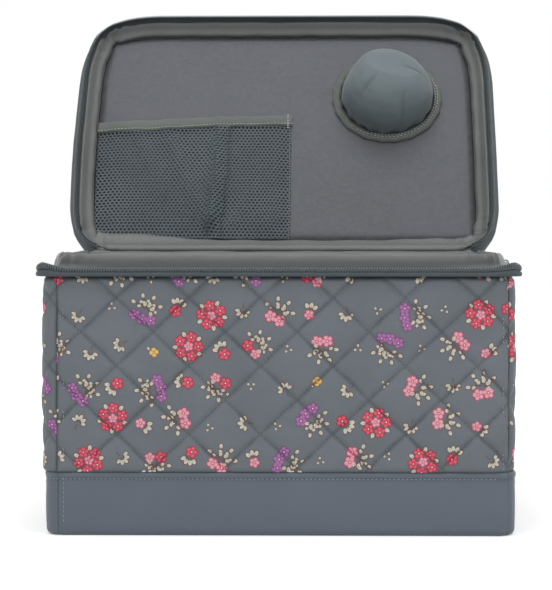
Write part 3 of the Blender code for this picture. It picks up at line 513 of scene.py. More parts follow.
# %% Trees in few words
class Tree:
    """A geometry-node tree with named inputs, built in few words."""

    def __init__(self, name, inputs):
        self.tree = bpy.data.node_groups.new(name, "GeometryNodeTree")
        face = self.tree.interface
        face.new_socket("Path", in_out="INPUT", socket_type="NodeSocketGeometry")
        for label, kind in inputs.items():
            face.new_socket(label, in_out="INPUT", socket_type="NodeSocket" + kind)
        face.new_socket("Made", in_out="OUTPUT", socket_type="NodeSocketGeometry")
        self.given = self.tree.nodes.new("NodeGroupInput").outputs
        self.result = self.tree.nodes.new("NodeGroupOutput").inputs[0]

    def add(self, kind, values=(), **settings):
        node = self.tree.nodes.new(kind)
        for key, value in settings.items():
            setattr(node, key, value)
        for slot, value in dict(values).items():
            if isinstance(value, bpy.types.NodeSocket):
                self.tree.links.new(value, node.inputs[slot])
            else:
                node.inputs[slot].default_value = value
        return node.outputs[0]

    def resampled(self, length):
        """The path as a curve, with a point at each step of this length."""
        line = self.add("GeometryNodeMeshToCurve", {0: self.given["Path"]})
        return self.add("GeometryNodeResampleCurve", {"Curve": line, "Length": length}, mode="LENGTH")

    def finish(self, shape, material):
        whole = self.add("GeometryNodeRealizeInstances", {0: shape})
        smooth = self.add("GeometryNodeSetShadeSmooth", {0: whole})
        painted = self.add("GeometryNodeSetMaterial", {"Geometry": smooth, "Material": material})
        self.tree.links.new(painted, self.result)
        return self.tree


# %% A row of stitches
def stitch_tree():
    t = Tree("stitch_row", {"Pitch": "Float", "Length": "Float", "Radius": "Float", "Thread": "Material"})
    line = t.resampled(t.given["Pitch"])
    stitch = t.add("GeometryNodeMeshUVSphere", {"Segments": 6, "Rings": 4, "Radius": 1.0})
    half = t.add("ShaderNodeMath", {0: t.given["Length"], 1: 0.5}, operation="MULTIPLY")
    size = t.add("ShaderNodeCombineXYZ", {0: half, 1: t.given["Radius"], 2: t.given["Radius"]})
    ahead = t.add("GeometryNodeInputTangent")
    turn = t.add("FunctionNodeAlignRotationToVector", {"Vector": ahead}, axis="X")
    each = {"Points": line, "Instance": stitch, "Rotation": turn, "Scale": size}
    return t.finish(t.add("GeometryNodeInstanceOnPoints", each), t.given["Thread"])


# %% A wound wire
def coil_tree():
    sizes = {"Step": "Float", "Out": "Float", "Up": "Float", "Wire": "Float", "Nylon": "Material"}
    t = Tree("wound_wire", sizes)
    line = t.resampled(t.given["Step"])
    index = t.add("GeometryNodeInputIndex")
    turn = t.add("ShaderNodeMath", {0: index, 1: math.pi / 4}, operation="MULTIPLY")
    shift = None
    for label, wave in (("Out", "COSINE"), ("Up", "SINE")):
        way = t.add("GeometryNodeInputNamedAttribute", {"Name": label.lower()}, data_type="FLOAT_VECTOR")
        swing = t.add("ShaderNodeMath", {0: turn}, operation=wave)
        swing = t.add("ShaderNodeMath", {0: swing, 1: t.given[label]}, operation="MULTIPLY")
        part = t.add("ShaderNodeVectorMath", {0: way, "Scale": swing}, operation="SCALE")
        shift = part if shift is None else t.add("ShaderNodeVectorMath", {0: shift, 1: part}, operation="ADD")
    line = t.add("GeometryNodeSetPosition", {"Geometry": line, "Offset": shift})
    section = t.add("GeometryNodeCurvePrimitiveCircle", {"Resolution": 4, "Radius": t.given["Wire"]})
    closed = {"Curve": line, "Profile Curve": section, "Fill Caps": True}
    return t.finish(t.add("GeometryNodeCurveToMesh", closed), t.given["Nylon"])


# %% Growing a piece along a path
TREES = {"stitch": stitch_tree(), "coil": coil_tree()}


def grown(name, path, tree, values, directions=None):
    """Runs a tree along a path of points, and keeps its result as a plain mesh."""
    mesh = bpy.data.meshes.new(name)
    mesh.from_pydata([tuple(p) for p in path], [(k, k + 1) for k in range(len(path) - 1)], [])
    for label, vectors in (directions or {}).items():
        layer = mesh.attributes.new(label, "FLOAT_VECTOR", "POINT")
        layer.data.foreach_set("vector", np.asarray(vectors, np.float32).ravel())
    made = placed(name, mesh)
    grow = made.modifiers.new("grow", "NODES")
    grow.node_group = TREES[tree]
    for socket in TREES[tree].interface.items_tree:
        if socket.in_out == "INPUT" and socket.name in values:
            grow[socket.identifier] = values[socket.name]
    return kept_as_mesh(made)


def stitches(name, path, body, thread="thread", pitch=2.8 * MM, share=0.66, radius=0.28 * MM):
    """A row of sewing-machine stitches along a path."""
    values = {"Pitch": pitch, "Length": pitch * share, "Radius": radius, "Thread": finishes[thread]}
    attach(grown(name, path, "stitch", values), body)


# %% [markdown]
# ## The print
# The cloth has a small scattered print of flowers and leafy sprigs. It could be a picture on the
# cloth, but a picture blurs close up and would copy someone's drawing. So the motifs and their
# layout are made up here, and drawn as very thin cut-out shapes that lie on the cloth.

# %% Inks
CRIMSON, ROSE, LILAC = (212, 66, 92), (226, 138, 158), (158, 92, 152)
GOLD, CREAM, BARK = (226, 180, 88), (206, 200, 182), (104, 80, 72)
POLLEN, LEAF_HEART = (246, 232, 214), (222, 218, 204)
DEEP = {CRIMSON: (158, 40, 68), ROSE: (196, 74, 104), LILAC: (118, 66, 122), GOLD: (150, 104, 52)}
PALE = {CRIMSON: (232, 104, 122), ROSE: (240, 186, 194), LILAC: (184, 126, 174), GOLD: (238, 208, 132)}
LAYER_HEIGHT = 0.035 * MM


# %% A surface to print on
class Surface:
    """A grid of points that print is laid on."""

    def __init__(self, us, vs, points):
        self.us, self.vs, self.points = us, vs, points
        normals = np.cross(np.gradient(points, axis=0), np.gradient(points, axis=1))
        self.normals = normals / np.maximum(np.linalg.norm(normals, axis=-1, keepdims=True), 1e-12)

    def covers(self, place):
        inside_u = self.us[0] < place[0] < self.us[-1]
        return inside_u and self.vs[0] < place[1] < self.vs[-1]

    def at(self, u, v, lift):
        u = np.clip(np.asarray(u, float), self.us[0], self.us[-1])
        v = np.clip(np.asarray(v, float), self.vs[0], self.vs[-1])
        i = np.clip(np.searchsorted(self.us, u, "right") - 1, 0, len(self.us) - 2)
        j = np.clip(np.searchsorted(self.vs, v, "right") - 1, 0, len(self.vs) - 2)
        s = ((u - self.us[i]) / (self.us[i + 1] - self.us[i]))[..., None]
        t = ((v - self.vs[j]) / (self.vs[j + 1] - self.vs[j]))[..., None]

        def blended(grid):
            low = grid[i, j] * (1 - s) + grid[i + 1, j] * s
            high = grid[i, j + 1] * (1 - s) + grid[i + 1, j + 1] * s
            return low * (1 - t) + high * t

        return blended(self.points) + blended(self.normals) * lift


# %% Petals, leaves and stems
class Print:
    """Collects flat coloured shapes in (u, v), to be laid on a surface."""

    def __init__(self):
        self.shapes = []

    def fan(self, rim, middle, rim_colour, middle_colour, layer):
        self.shapes.append((np.array(rim), np.array(middle), rim_colour, middle_colour, layer))

    def edged(self, at, angle, x, y, heart, inner, colours):
        """A turned outline with a dark edge, and a smaller, paler shape on it."""
        c, s = math.cos(angle), math.sin(angle)
        points = np.stack([at[0] + c * x - s * y, at[1] + s * x + c * y], axis=1)
        middle = np.array([at[0] + c * heart, at[1] + s * heart])
        self.fan(points, middle, colours[0], colours[0], 0)
        self.fan(middle + (points - middle) * inner, middle, colours[1], colours[2], 1)

    def petal(self, at, angle, length, width, colour):
        """A rounded petal with a deep rim and a paler heart."""
        turns = np.linspace(0, 2 * math.pi, 9)[:-1]
        x = length * (0.5 - 0.5 * np.cos(turns))
        y = width / 2 * np.sin(turns) * (0.7 + 0.4 * x / length)
        self.edged(at, angle, x, y, length * 0.6, 0.76, (DEEP[colour], colour, PALE[colour]))

    def dot(self, at, radius, colour, layer):
        turns = np.linspace(0, 2 * math.pi, 8)[:-1]
        points = np.stack([at[0] + radius * np.cos(turns), at[1] + radius * np.sin(turns)], axis=1)
        self.fan(points, at, colour, colour, layer)

    def blossom(self, at, radius, colour, turn, petals=5):
        for k in range(petals):
            angle = turn + 2 * math.pi * k / petals
            self.petal(at, angle, radius, radius * 5.0 / petals, colour)
        self.dot(at, radius * 0.26, DEEP[colour], 2)
        self.dot(at, radius * 0.13, POLLEN, 3)

    def leaf(self, at, angle, length, wide=0.34):
        """A plump leaf in cream with a bark rim and midrib."""
        x = np.array([0, 0.16, 0.45, 0.78, 1, 0.78, 0.45, 0.16]) * length
        y = np.array([0, 0.72, 1, 0.76, 0, -0.76, -1, -0.72]) * length * wide
        self.edged(at, angle, x, y, length * 0.52, 0.74, (BARK, CREAM, LEAF_HEART))
        c, s = math.cos(angle), math.sin(angle)
        rib = [(0, -0.03), (0.6, -0.012), (0.6, 0.012), (0, 0.03)]
        rib = [(at[0] + (c * a - s * b) * length, at[1] + (s * a + c * b) * length) for a, b in rib]
        self.fan(rib, np.mean(rib, axis=0), BARK, BARK, 2)

    def stem(self, points, width=0.6 * MM):
        points = np.array(points)
        for a, b in zip(points, points[1:]):
            side = np.array([a[1] - b[1], b[0] - a[0]])
            side *= width / 2 / max(np.linalg.norm(side), 1e-9)
            self.fan([a - side, b - side, b + side, a + side], (a + b) / 2, BARK, BARK, 0)

    def spray(self, at, angle, length, leaves, size):
        """A short bent stem with plump leaves close together along it, and one at its tip."""
        shares = np.linspace(0, 1, 5)
        bends = angle + 0.7 * (shares - 0.5)
        path = [at[0] + np.cos(bends) * length * shares, at[1] + np.sin(bends) * length * shares]
        path = np.stack(path, axis=1)
        self.stem(path)
        for k in range(leaves - 1):
            share = (k + 0.7) / leaves
            foot = (np.interp(share, shares, path[:, 0]), np.interp(share, shares, path[:, 1]))
            self.leaf(foot, angle + (1.05 if k % 2 else -1.05), size * (1 - 0.12 * (k % 3)))
        self.leaf(path[-1], angle + 0.3, size)

    def lay(self, name, surface, body, lift=0.14 * MM):
        verts, faces, colours, base = [], [], [], 0
        for points, middle, rim_colour, middle_colour, layer in self.shapes:
            if not surface.covers(middle):
                continue
            flat = np.concatenate([points, [middle]])
            verts.append(surface.at(flat[:, 0], flat[:, 1], lift + layer * LAYER_HEIGHT))
            count = len(points)
            faces += [(base + k, base + (k + 1) % count, base + count) for k in range(count)]
            colours += [linear(rim_colour)] * count + [linear(middle_colour)]
            base += count + 1
        piece = add_mesh(name, np.concatenate(verts), faces, finishes["ink"])
        layer = piece.data.color_attributes.new("ink", "FLOAT_COLOR", "POINT")
        rgba = np.concatenate([np.array(colours), np.ones((len(colours), 1))], axis=1)
        layer.data.foreach_set("color", rgba.astype(np.float32).ravel())
        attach(piece, body)
        print(name, len(faces), "faces")


# %% [markdown]
# ## The motifs
# Each motif is a few blossoms and leaves about a middle point. Lengths are given in mm from that
# point, and angles from the motif's own turn, so that one motif can lie in any direction.

# %% Motifs
SPRAYED = {
    "crescent": {"blossoms": ((-0.75, 7.6), (0.1, 6.0), (0.95, 7.2)), "size": 4.1, "colour": LILAC,
                 "sprays": (2.0, 2.75, 3.5, 4.25), "from": 1.2, "stem": 6.4, "leaves": 4, "leaf": 4.4},
    "twins": {"blossoms": ((-0.55, 5.6), (0.75, 5.2)), "size": 4.1, "colour": ROSE,
              "sprays": (1.9, 2.7, 3.5, 4.4), "from": 1.0, "stem": 6.0, "leaves": 3, "leaf": 4.6},
    "mixed": {"sprays": (2.7, 3.5, 4.3, 5.1), "from": 1.2, "stem": 5.8, "leaves": 4, "leaf": 4.3},
}
LEAFED = {
    "posy": (2.6, 4.2, CRIMSON, (2.35, 2.95, 3.55, 4.1), 2.0),
    "bud": (2.2, 3.6, ROSE, (2.4, 3.1, 3.8), 1.6),
}


# %% Drawing a motif
def motif(ink, kind, at, turn, luck):
    """One of the print's motifs, at this place and angle."""

    def spot(angle, reach):
        return at[0] + math.cos(turn + angle) * reach * MM, at[1] + math.sin(turn + angle) * reach * MM

    def blossom(angle, reach, size, colour):
        ink.blossom(spot(angle, reach), size * MM, colour, luck.uniform(0, 1))

    if kind == "wreath":
        for k in range(5):
            angle = k * 1.26 + 0.2
            blossom(angle, 6.4, 3.9, CRIMSON)
            ink.leaf(spot(angle + 0.62, 6.0), turn + angle + 0.62, 5.0 * MM)
        blossom(0, 0.4, 3.4, ROSE)
    elif kind in SPRAYED:
        made = SPRAYED[kind]
        if kind == "mixed":
            blossom(0.1, 5.8, 4.2, CRIMSON)
            blossom(1.5, 5.4, 3.6, ROSE)
        for angle, reach in made.get("blossoms", ()):
            blossom(angle, reach, made["size"], made["colour"])
        for angle in made["sprays"]:
            sizes = (made["stem"] * MM, made["leaves"], made["leaf"] * MM)
            ink.spray(spot(angle, made["from"]), turn + angle, *sizes)
    elif kind == "fan":
        for k in range(5):
            ink.leaf(spot((k - 2) * 0.5, 1.2), turn + (k - 2) * 0.74, (5.4 - 0.4 * abs(k - 2)) * MM, 0.3)
        ink.stem([spot(0, -1.0), spot(math.pi, 4.4)])
    elif kind in LEAFED:
        reach, size, colour, angles, leaf_reach = LEAFED[kind]
        ink.blossom(spot(0, reach), size * MM, colour, turn)
        for angle in angles:
            ink.leaf(spot(angle, leaf_reach), turn + angle, 5.2 * MM)
    elif kind == "gold":
        ink.blossom(at, 3.3 * MM, GOLD, turn, 4)
        ink.leaf(spot(2.4, 2.6), turn + 2.4, 3.4 * MM)
    else:
        for angle in (0, 2.1, 4.2):
            ink.leaf(spot(angle, 0.7), turn + angle, 2.5 * MM, 0.4)


# %% Scattering the motifs
LARGE = ("wreath", "twins", "crescent", "mixed", "fan", "crescent", "twins", "mixed")
SMALL = ("fan", "posy", "seeds", "bud", "gold", "seeds", "posy", "fan", "bud", "seeds")
MOTIF_U, MOTIF_V = 21.5 * MM, 24 * MM


def scattered(low_u, high_u, low_v, high_v, seed):
    """Large and small motifs in turn on a staggered grid, each moved and turned a little."""
    ink, luck = Print(), random.Random(seed)
    for row in range(math.floor(low_v / MOTIF_V) - 1, math.ceil(high_v / MOTIF_V) + 2):
        for column in range(math.floor(low_u / MOTIF_U) - 1, math.ceil(high_u / MOTIF_U) + 2):
            kinds = SMALL if (column + row) % 2 else LARGE
            kind = kinds[(column * 3 + row * 5 + (column * row) % 3) % len(kinds)]
            u = (column + 0.16 * (row % 3)) * MOTIF_U + luck.uniform(-1.6, 1.6) * MM
            v = (row + 0.12 * (column % 2)) * MOTIF_V + luck.uniform(-2.0, 2.0) * MM
            motif(ink, kind, (u, v), luck.uniform(0, 2 * math.pi), luck)
    return ink


# %% [markdown]
# ## Quilted walls
# The walls are printed cloth over wadding, sewn through in diamonds: the stitches draw the
# wadding in along each line, and it swells between them. The relief could be sculpted, but it
# has to meet the drawn thread. So one formula says how far in the cloth lies at each point, and
# it serves the walls and the lid alike.

# %% Relief of the quilting
CROSSING_X, CROSSING_Z = 12 * MM, 88 * MM
PUFF, GROOVE, GROOVE_REACH = 1.9 * MM, 0.8 * MM, 1.7 * MM


def quilt_drop(u, v):
    """How far in the cloth lies, from the crest of the quilting."""
    across, up = u / DIAMOND_WIDTH, v / DIAMOND_HEIGHT
    first, second = across + up, across - up
    puff = np.abs(np.sin(math.pi * first) * np.sin(math.pi * second))
    gap = np.minimum(np.abs(first - np.round(first)), np.abs(second - np.round(second))) * LINE_GAP
    return PUFF * (1 - puff**0.5) + GROOVE * np.exp(-((gap / GROOVE_REACH) ** 2))


# %% Where the walls meet
LEFT_SEAM, RIGHT_SEAM = CORNER * math.radians(15), CORNER * math.radians(43)
LEFT_END, RIGHT_END = FRONT_RUN / 2 + LEFT_SEAM, FRONT_RUN / 2 + RIGHT_SEAM
SIDES = ("front", "right", "back", "left")
SEAMS = {
    "front": (-LEFT_END, RIGHT_END),
    "right": (RIGHT_END, BACK_MIDDLE - RIGHT_END),
    "back": (BACK_MIDDLE - RIGHT_END, BACK_MIDDLE + LEFT_END),
    "left": (BACK_MIDDLE + LEFT_END, ROUND_TRIP - LEFT_END),
}
for side, (first, last) in SEAMS.items():
    print(f"{side} wall: {(last - first) / MM:.0f} mm from seam to seam")


# %% How far out a wall's cloth lies
def wall_relief(side, seed, u, v):
    """Each point's offset from the outline, and the painted shade at its seams and under the zip."""
    first, last = SEAMS[side]
    edge = np.minimum(np.minimum(u - first, last - u), np.minimum(v - BAND_TOP, COVER_TOP - v))
    tuck = np.clip(1 - edge / (3.2 * MM), 0, 1) ** 2
    under_zip = np.clip(1 - (COVER_TOP - v) / (3.0 * MM), 0, 1)
    drop = quilt_drop(u - CROSSING_X, v - CROSSING_Z)
    flat = ring(u, 0, v)
    wrinkle = 0.36 * MM * ripple(flat * np.array([1, 1, 1.8]), 15 * MM, seed)
    pucker = 0.55 * MM * ripple(flat, 5.0 * MM, seed + 9) * np.exp(-((drop / MM - 2.1) ** 2))
    fullness = 0.9 * MM if side in ("left", "right") else 0.3 * MM
    bulge = fullness * np.sin(math.pi * (v - BAND_TOP) / (COVER_TOP - BAND_TOP))
    offset = -drop * (1 - tuck) - 1.7 * MM * tuck + wrinkle + pucker + bulge - 1.4 * MM * under_zip
    # Painted shade at the wall's edges, and painted shadow under the zip ridge.
    seam_and_zip_shade = np.exp(-((edge / (1.1 * MM)) ** 2)) * 0.5 + 0.95 * under_zip
    return np.minimum(offset, 1.3 * MM), seam_and_zip_shade


# %% The four walls
BEHIND, TURNED = -4.6 * MM, 4 * MM


def quilted_wall(side, seed):
    """One wall: its cloth with the edges turned in behind, and its print."""
    first, last = SEAMS[side]
    us = steps(first + 0.1 * MM, last - 0.1 * MM, 1.5 * MM)
    vs = steps(BAND_TOP, COVER_TOP - 0.2 * MM, 1.5 * MM)
    u, v = np.meshgrid(us, vs, indexing="ij")
    offset, seam_and_zip_shade = wall_relief(side, seed, u, v)
    points = ring(u, offset, v)
    # The edges turn in behind, so that the cloth has no thin rim.
    foot, top = ring(us, BEHIND, BAND_TOP), ring(us, BEHIND, COVER_TOP - 0.1 * MM)
    wide = np.concatenate([foot[:, None], points, top[:, None]], axis=1)
    tall = np.concatenate([[vs[0] - TURNED], vs, [vs[-1] + TURNED]])
    ends = [ring(np.full_like(tall, us[k]), BEHIND, wide[k, :, 2])[None] for k in (0, -1)]
    wide = np.concatenate([ends[0], wide, ends[1]], axis=0)
    broad = np.concatenate([[us[0] - TURNED], us, [us[-1] + TURNED]])
    shade = np.pad(seam_and_zip_shade, 1, mode="edge")
    lengths = (broad - CROSSING_X, tall - CROSSING_Z)
    piece = cloth_grid(side + "_quilting", wide, *lengths, finishes["quilt"], shade=shade)
    finish_off(piece, "case", side + "_cover", slot="printed_quilting")
    ink = scattered(us[0], us[-1], vs[0], vs[-1], seed)
    ink.lay(side + "_print", Surface(us, vs, points), "case")


for seed, side in enumerate(SIDES, 3):
    quilted_wall(side, seed)

# %% [markdown]
# ## Plain band round the foot
# A band of satin goes round the foot of the real box. It is folded over at its top, stitched
# just below the fold, and turns under the box. A box with a bevel would have no fold to catch
# the light, so the band is one cross-section that is swept from seam to seam.

# %% The band's cross-section
BAND_OUT, BAND_BEND = -2.5 * MM, 4.5 * MM
FOLDED_RIM = [(-4.6, 41.3), (-3.4, 41.45), (-2.35, 41.3), (-1.85, 40.6), (-1.75, 39.6), (-1.95, 38.2),
              (-2.55, 37.3), (-2.45, 36.2), (-2.2, 34.5)]


def band_profile():
    """(offset, z) from the inner top edge, over the folded rim and down round the foot."""
    points = [(o * MM, z * MM) for o, z in FOLDED_RIM]
    for share, z in zip(np.linspace(0.1, 1, 14), np.linspace(32 * MM, BAND_BEND, 14)):
        points.append((BAND_OUT + 0.35 * MM * math.sin(math.pi * share), z))
    foot = BAND_OUT - BAND_BEND
    for step in range(1, 9):
        turn = -step / 8 * math.pi / 2
        points.append((foot + BAND_BEND * math.cos(turn), BAND_BEND + BAND_BEND * math.sin(turn)))
    points.append((foot - 4.6 * MM, 0.05 * MM))
    return np.array(points)


# %% The four bands
STITCH_HEIGHT = 37.0 * MM


def foot_band(side, seed):
    """One wall's band, a little loose between its fold and its foot, and its stitches."""
    first, last = SEAMS[side]
    us = steps(first + 0.1 * MM, last - 0.1 * MM, 2.5 * MM)
    profile = band_profile()
    u, offset, z = swept(us, profile)
    edge = np.minimum(u - first, last - u)
    offset = offset - 0.9 * MM * np.clip(1 - edge / (2.6 * MM), 0, 1) ** 2
    sway = ripple(ring(u, 0, z) * np.array([1, 1, 0.6]), 60 * MM, seed)
    loose = np.clip((z - 4 * MM) / (8 * MM), 0, 1) * np.clip((39 * MM - z) / (6 * MM), 0, 1)
    from_right = np.abs(u - FRONT_RUN / 2 - CORNER_RUN - SIDE_RUN / 2) - SIDE_RUN / 2
    fuller = 2.3 * MM * np.clip(1 - from_right / (24 * MM), 0, 1)
    # Painted shade in the crease along the band's stitch line.
    band_fold_shade = np.exp(-(((z - 36.9 * MM) / (0.7 * MM)) ** 2)) * (offset > -4 * MM) * 0.5
    points = ring(u, offset + 0.35 * MM * sway * loose + fuller, z)
    lengths = profile_lengths(profile)
    name = side + "_foot_band"
    piece = cloth_grid(name, points[:, ::-1], us, lengths, finishes["satin"], shade=band_fold_shade[:, ::-1])
    finish_off(piece, "case", side + "_band", slot="plain_satin")
    declare(piece, us[-1] - us[0], lengths[-1], "stretched")
    stitches(side + "_band_stitches", ring(us, -2.4 * MM, STITCH_HEIGHT), "case")


for seed, side in enumerate(SIDES, 20):
    foot_band(side, seed)

# %% [markdown]
# ## Stitches at the corners
# On the real box a line of stitches runs up each wall beside its seam. It could be part of the
# finish, but it stands off the cloth and catches light, so it is made of real stitches.

# %% Stitches beside the seams
BESIDE = 4.6 * MM
LINES_UP = (("edge", 44 * MM, 165 * MM, -1.1 * MM), ("band_edge", 10 * MM, 40 * MM, -2.2 * MM))
for side, sign, seam in (("left", -1, LEFT_SEAM), ("right", 1, RIGHT_SEAM)):
    inner = sign * (FRONT_RUN / 2 + seam - BESIDE)
    for wall, run in (("front", inner), ("back", BACK_MIDDLE - inner)):
        for part, low, high, offset in LINES_UP:
            heights = steps(low, high, 4 * MM)
            path = ring(np.full_like(heights, run), offset, heights)
            stitches(f"{wall}_{part}_stitches_{side}", path, "case", pitch=3 * MM)
            print(f"{wall}_{part}_stitches_{side}: {(high - low) / MM:.0f} mm long")

# %% [markdown]
# ## Underside
# Satin closes the box's underside between the turned bands. It isn't seen in the photograph. A
# plain rectangle would stick out past the round corners, so a grid has its corner points drawn
# onto the rounded outline, and the same grid serves the floor and the lid.

# %% A grid with round corners
def rounded_grid(half_x, half_y, radius, step):
    """A grid of points on a round-cornered rectangle, and each point's distance from its edge."""
    us, vs = steps(-half_x, half_x, step), steps(-half_y, half_y, step)
    x, y = np.meshgrid(us, vs, indexing="ij")
    over_x = np.maximum(np.abs(x) - (half_x - radius), 0)
    over_y = np.maximum(np.abs(y) - (half_y - radius), 0)
    reach, length = np.maximum(over_x, over_y), np.maximum(np.hypot(over_x, over_y), 1e-12)
    corner = (over_x > 0) & (over_y > 0)
    shrink = np.where(corner, reach / length, 1)
    x = np.sign(x) * (np.abs(x) - over_x * (1 - shrink))
    y = np.sign(y) * (np.abs(y) - over_y * (1 - shrink))
    edge = np.where(corner, radius - reach, np.minimum(half_x - np.abs(x), half_y - np.abs(y)))
    return us, vs, x, y, edge


# %% The underside
def flat_panel(name, half_x, half_y, radius, height, finish, slot, node, held, faces_up):
    """A flat round-cornered panel, dense enough to take a slight waviness."""
    us, vs, x, y, _ = rounded_grid(half_x, half_y, radius, 6 * MM)
    points = np.stack([x, y, np.full_like(x, height)], axis=-1)
    points[..., 2] = np.maximum(height + 0.15 * MM * ripple(points, 50 * MM), 0.02 * MM)
    if not faces_up:
        points, us = points[::-1], us[::-1]
    piece = cloth_grid(name, points, us, vs, finishes[finish])
    finish_off(piece, "case", node, slot=slot)
    declare(piece, abs(us[-1] - us[0]), vs[-1] - vs[0], held)


flat_panel("underside", 141.8 * MM, 96.3 * MM, 3 * MM, 0.2 * MM, "satin", "plain_satin",
           "bottom_cover", "stretched", faces_up=False)

# %% [markdown]
# ## Inside of the box
# The walls are lined inside, and the lining hangs a little loose on its boards. It is one sheet
# all round, because its seams lie in the corners, where nothing shows them. The floor has a
# panel of its own.

# %% Linings of the walls and the floor
LINING_IN = -9.8 * MM
# The lining hangs inside the walls, so that its run is shorter than the outline by about this.
INSIDE_SHORTER = 60 * MM


def inner_lining():
    us = np.linspace(0, ROUND_TRIP, 200)[:-1]
    vs = steps(6.6 * MM, COVER_TOP + 0.5 * MM, 4 * MM)
    u, v = np.meshgrid(us, vs, indexing="ij")
    slack = 0.5 * MM * ripple(ring(u, 0, v) * np.array([1, 1, 0.4]), 30 * MM, 5)
    slack = slack * np.clip((COVER_TOP - v) / (20 * MM), 0, 1)
    points = ring(u, LINING_IN + slack, v)
    piece = cloth_grid("inner_lining", points[::-1], us[::-1], vs, finishes["olive"], wrap_u=True)
    nodes = ("lining_front", "lining_back", "lining_left", "lining_right")
    finish_off(piece, "case", *nodes, slot="olive_lining")
    declare(piece, ROUND_TRIP - INSIDE_SHORTER, vs[-1] - vs[0], "hung")


inner_lining()
flat_panel("floor_lining", 143.6 * MM, 98.1 * MM, 4.2 * MM, 6.8 * MM, "olive", "olive_lining",
           "lining_base", "laid", faces_up=True)

# %% [markdown]
# ## Padded rolls
# A soft roll of lining goes round the mouth, and another round the lid's rim. A curve with a
# round bevel would be quick, but it can't flatten on one side or gather. So each roll is a
# cross-section of its own that is swept along the outline, and noise squeezes it where it turns
# the corners, as cloth gathers there.

# %% The cross-section of a roll
def round_section(profile):
    """A roll's cross-section as 26 points, with its corners softened."""
    profile = np.array(profile) * MM
    fine = np.linspace(0, len(profile), 27)[:-1]
    wrapped = np.concatenate([profile, profile[:1]])
    section = np.stack([np.interp(fine, range(len(wrapped)), wrapped[:, k]) for k in (0, 1)])
    for _ in range(2):
        section = (np.roll(section, 1, 1) + 2 * section + np.roll(section, -1, 1)) / 4
    return section


# %% Sweeping a roll
def padded_roll(name, profile, seed, gather, slack, body, node, shape=None):
    """A closed roll with this cross-section, smooth on the runs and puckered at the corners."""
    offset, height = round_section(profile)
    us = np.linspace(0, ROUND_TRIP, 760)[:-1]
    u, turn = np.meshgrid(us, np.arange(len(offset)), indexing="ij")
    o, z = np.broadcast_to(offset, u.shape), np.broadcast_to(height, u.shape)
    if shape:
        o, z = shape(u, o, z)
    middle_o, middle_z = o.mean(axis=1, keepdims=True), z.mean(axis=1, keepdims=True)
    flat = ring(u, middle_o, 0) + np.stack([0 * u, 0 * u, turn * 1.2 * MM], axis=-1)
    fold = ripple(flat * np.array([1, 1, 0.5]), 4.6 * MM, seed) * corner_near(u) * gather
    squeeze = np.clip(1 - fold - ripple(flat, 24 * MM, seed + 3) * slack, 0.55, 1.3)
    across = middle_o + (o - middle_o) * (0.5 + 0.5 * squeeze)
    points = ring(u, across, middle_z + (z - middle_z) * squeeze)
    leaning = np.clip((z - 169 * MM) / (6 * MM), 0, 1)[..., None]
    lid = body == "lid"
    points = opened(points) if lid else points + (drawn_in(points) - points) * leaning
    # Painted shade: darker in the gathers at the corners, along the lid roll's inner edge, and low on the
    # lip's front.
    grain = ripple(flat * np.array([1, 1, 0.4]), 3.4 * MM, seed + 6) * corner_near(u)
    roll_shade = np.clip((fold - 0.10) * 1.6, 0, 0.75) + np.clip(grain * 0.55 - 0.12, 0, 0.5)
    if lid:
        roll_shade = roll_shade + 0.5 * np.exp(-(((offset[None, :] + 9.9 * MM) / (0.9 * MM)) ** 2))
    else:
        roll_shade = roll_shade + 0.62 * np.clip((180 * MM - z) / (7 * MM), 0, 1) * (o > -8 * MM)
    shade, lengths = np.clip(roll_shade, 0, 0.85)[:, ::-1], np.arange(len(offset))[::-1] * 1.6 * MM
    around = {"wrap_u": True, "wrap_v": True, "shade": shade}
    piece = cloth_grid(name, points[:, ::-1], us, lengths, finishes["olive"], **around)
    finish_off(piece, body, node, slot="olive_lining")


# %% The lip round the mouth
LIP = [(-10.5, 168.6), (-11.8, 170.5), (-12.1, 175), (-11.4, 179.6), (-9.6, 182.0), (-7.6, 182.6),
       (-5.9, 181.7), (-4.5, 179.4), (-3.4, 176.4), (-2.9, 173), (-3.0, 170.2), (-4.6, 168.6),
       (-7.5, 168.3)]
padded_roll("mouth_lip", LIP, 4.0, 0.5, 0.08, "case", "rim_lip")

# %% [markdown]
# ## Zip
# Each half of the real zip is a nylon coil, wound along the edge of a woven tape. The box's tape
# folds over below its coil as a soft ridge, and the lid's tape runs on up the lid's side as a
# facing. A picture of teeth would look flat from the side, so the coil is a wound wire, and the
# two tapes are swept from their own cross-sections.

# %% Where the zip runs
ZIP_END_X = 138 * MM
ZIP_END_RUN = BACK_MIDDLE - ZIP_END_X
TOOTH_PITCH, COIL_OUT = 1.65 * MM, 2.5 * MM
COIL_SIZES = {"Step": TOOTH_PITCH / 8, "Out": 0.8 * MM, "Up": 1.15 * MM, "Wire": 0.4 * MM}
FLARE_REACH, FLARE_OUT, FLARE_UP = 15 * MM, 0.8 * MM, 3.4 * MM
print(f"the zip has about {2 * ZIP_END_RUN / TOOTH_PITCH:.0f} teeth on each half")


def zip_laid(body, run, offset, z):
    """Points of the zip: the lid's are turned open, and the box's stand up at the front corners."""
    if body == "lid":
        return opened(ring(run, offset, z))
    gap = np.abs(np.abs(run) - FRONT_RUN / 2 - CORNER_RUN / 2)
    front = np.clip(1 - gap / FLARE_REACH, 0, 1)
    stood = front**1.3 * np.clip((z - 168.5 * MM) / (4 * MM), 0, 1)
    return ring(run, offset + FLARE_OUT * front, z + FLARE_UP * stood)


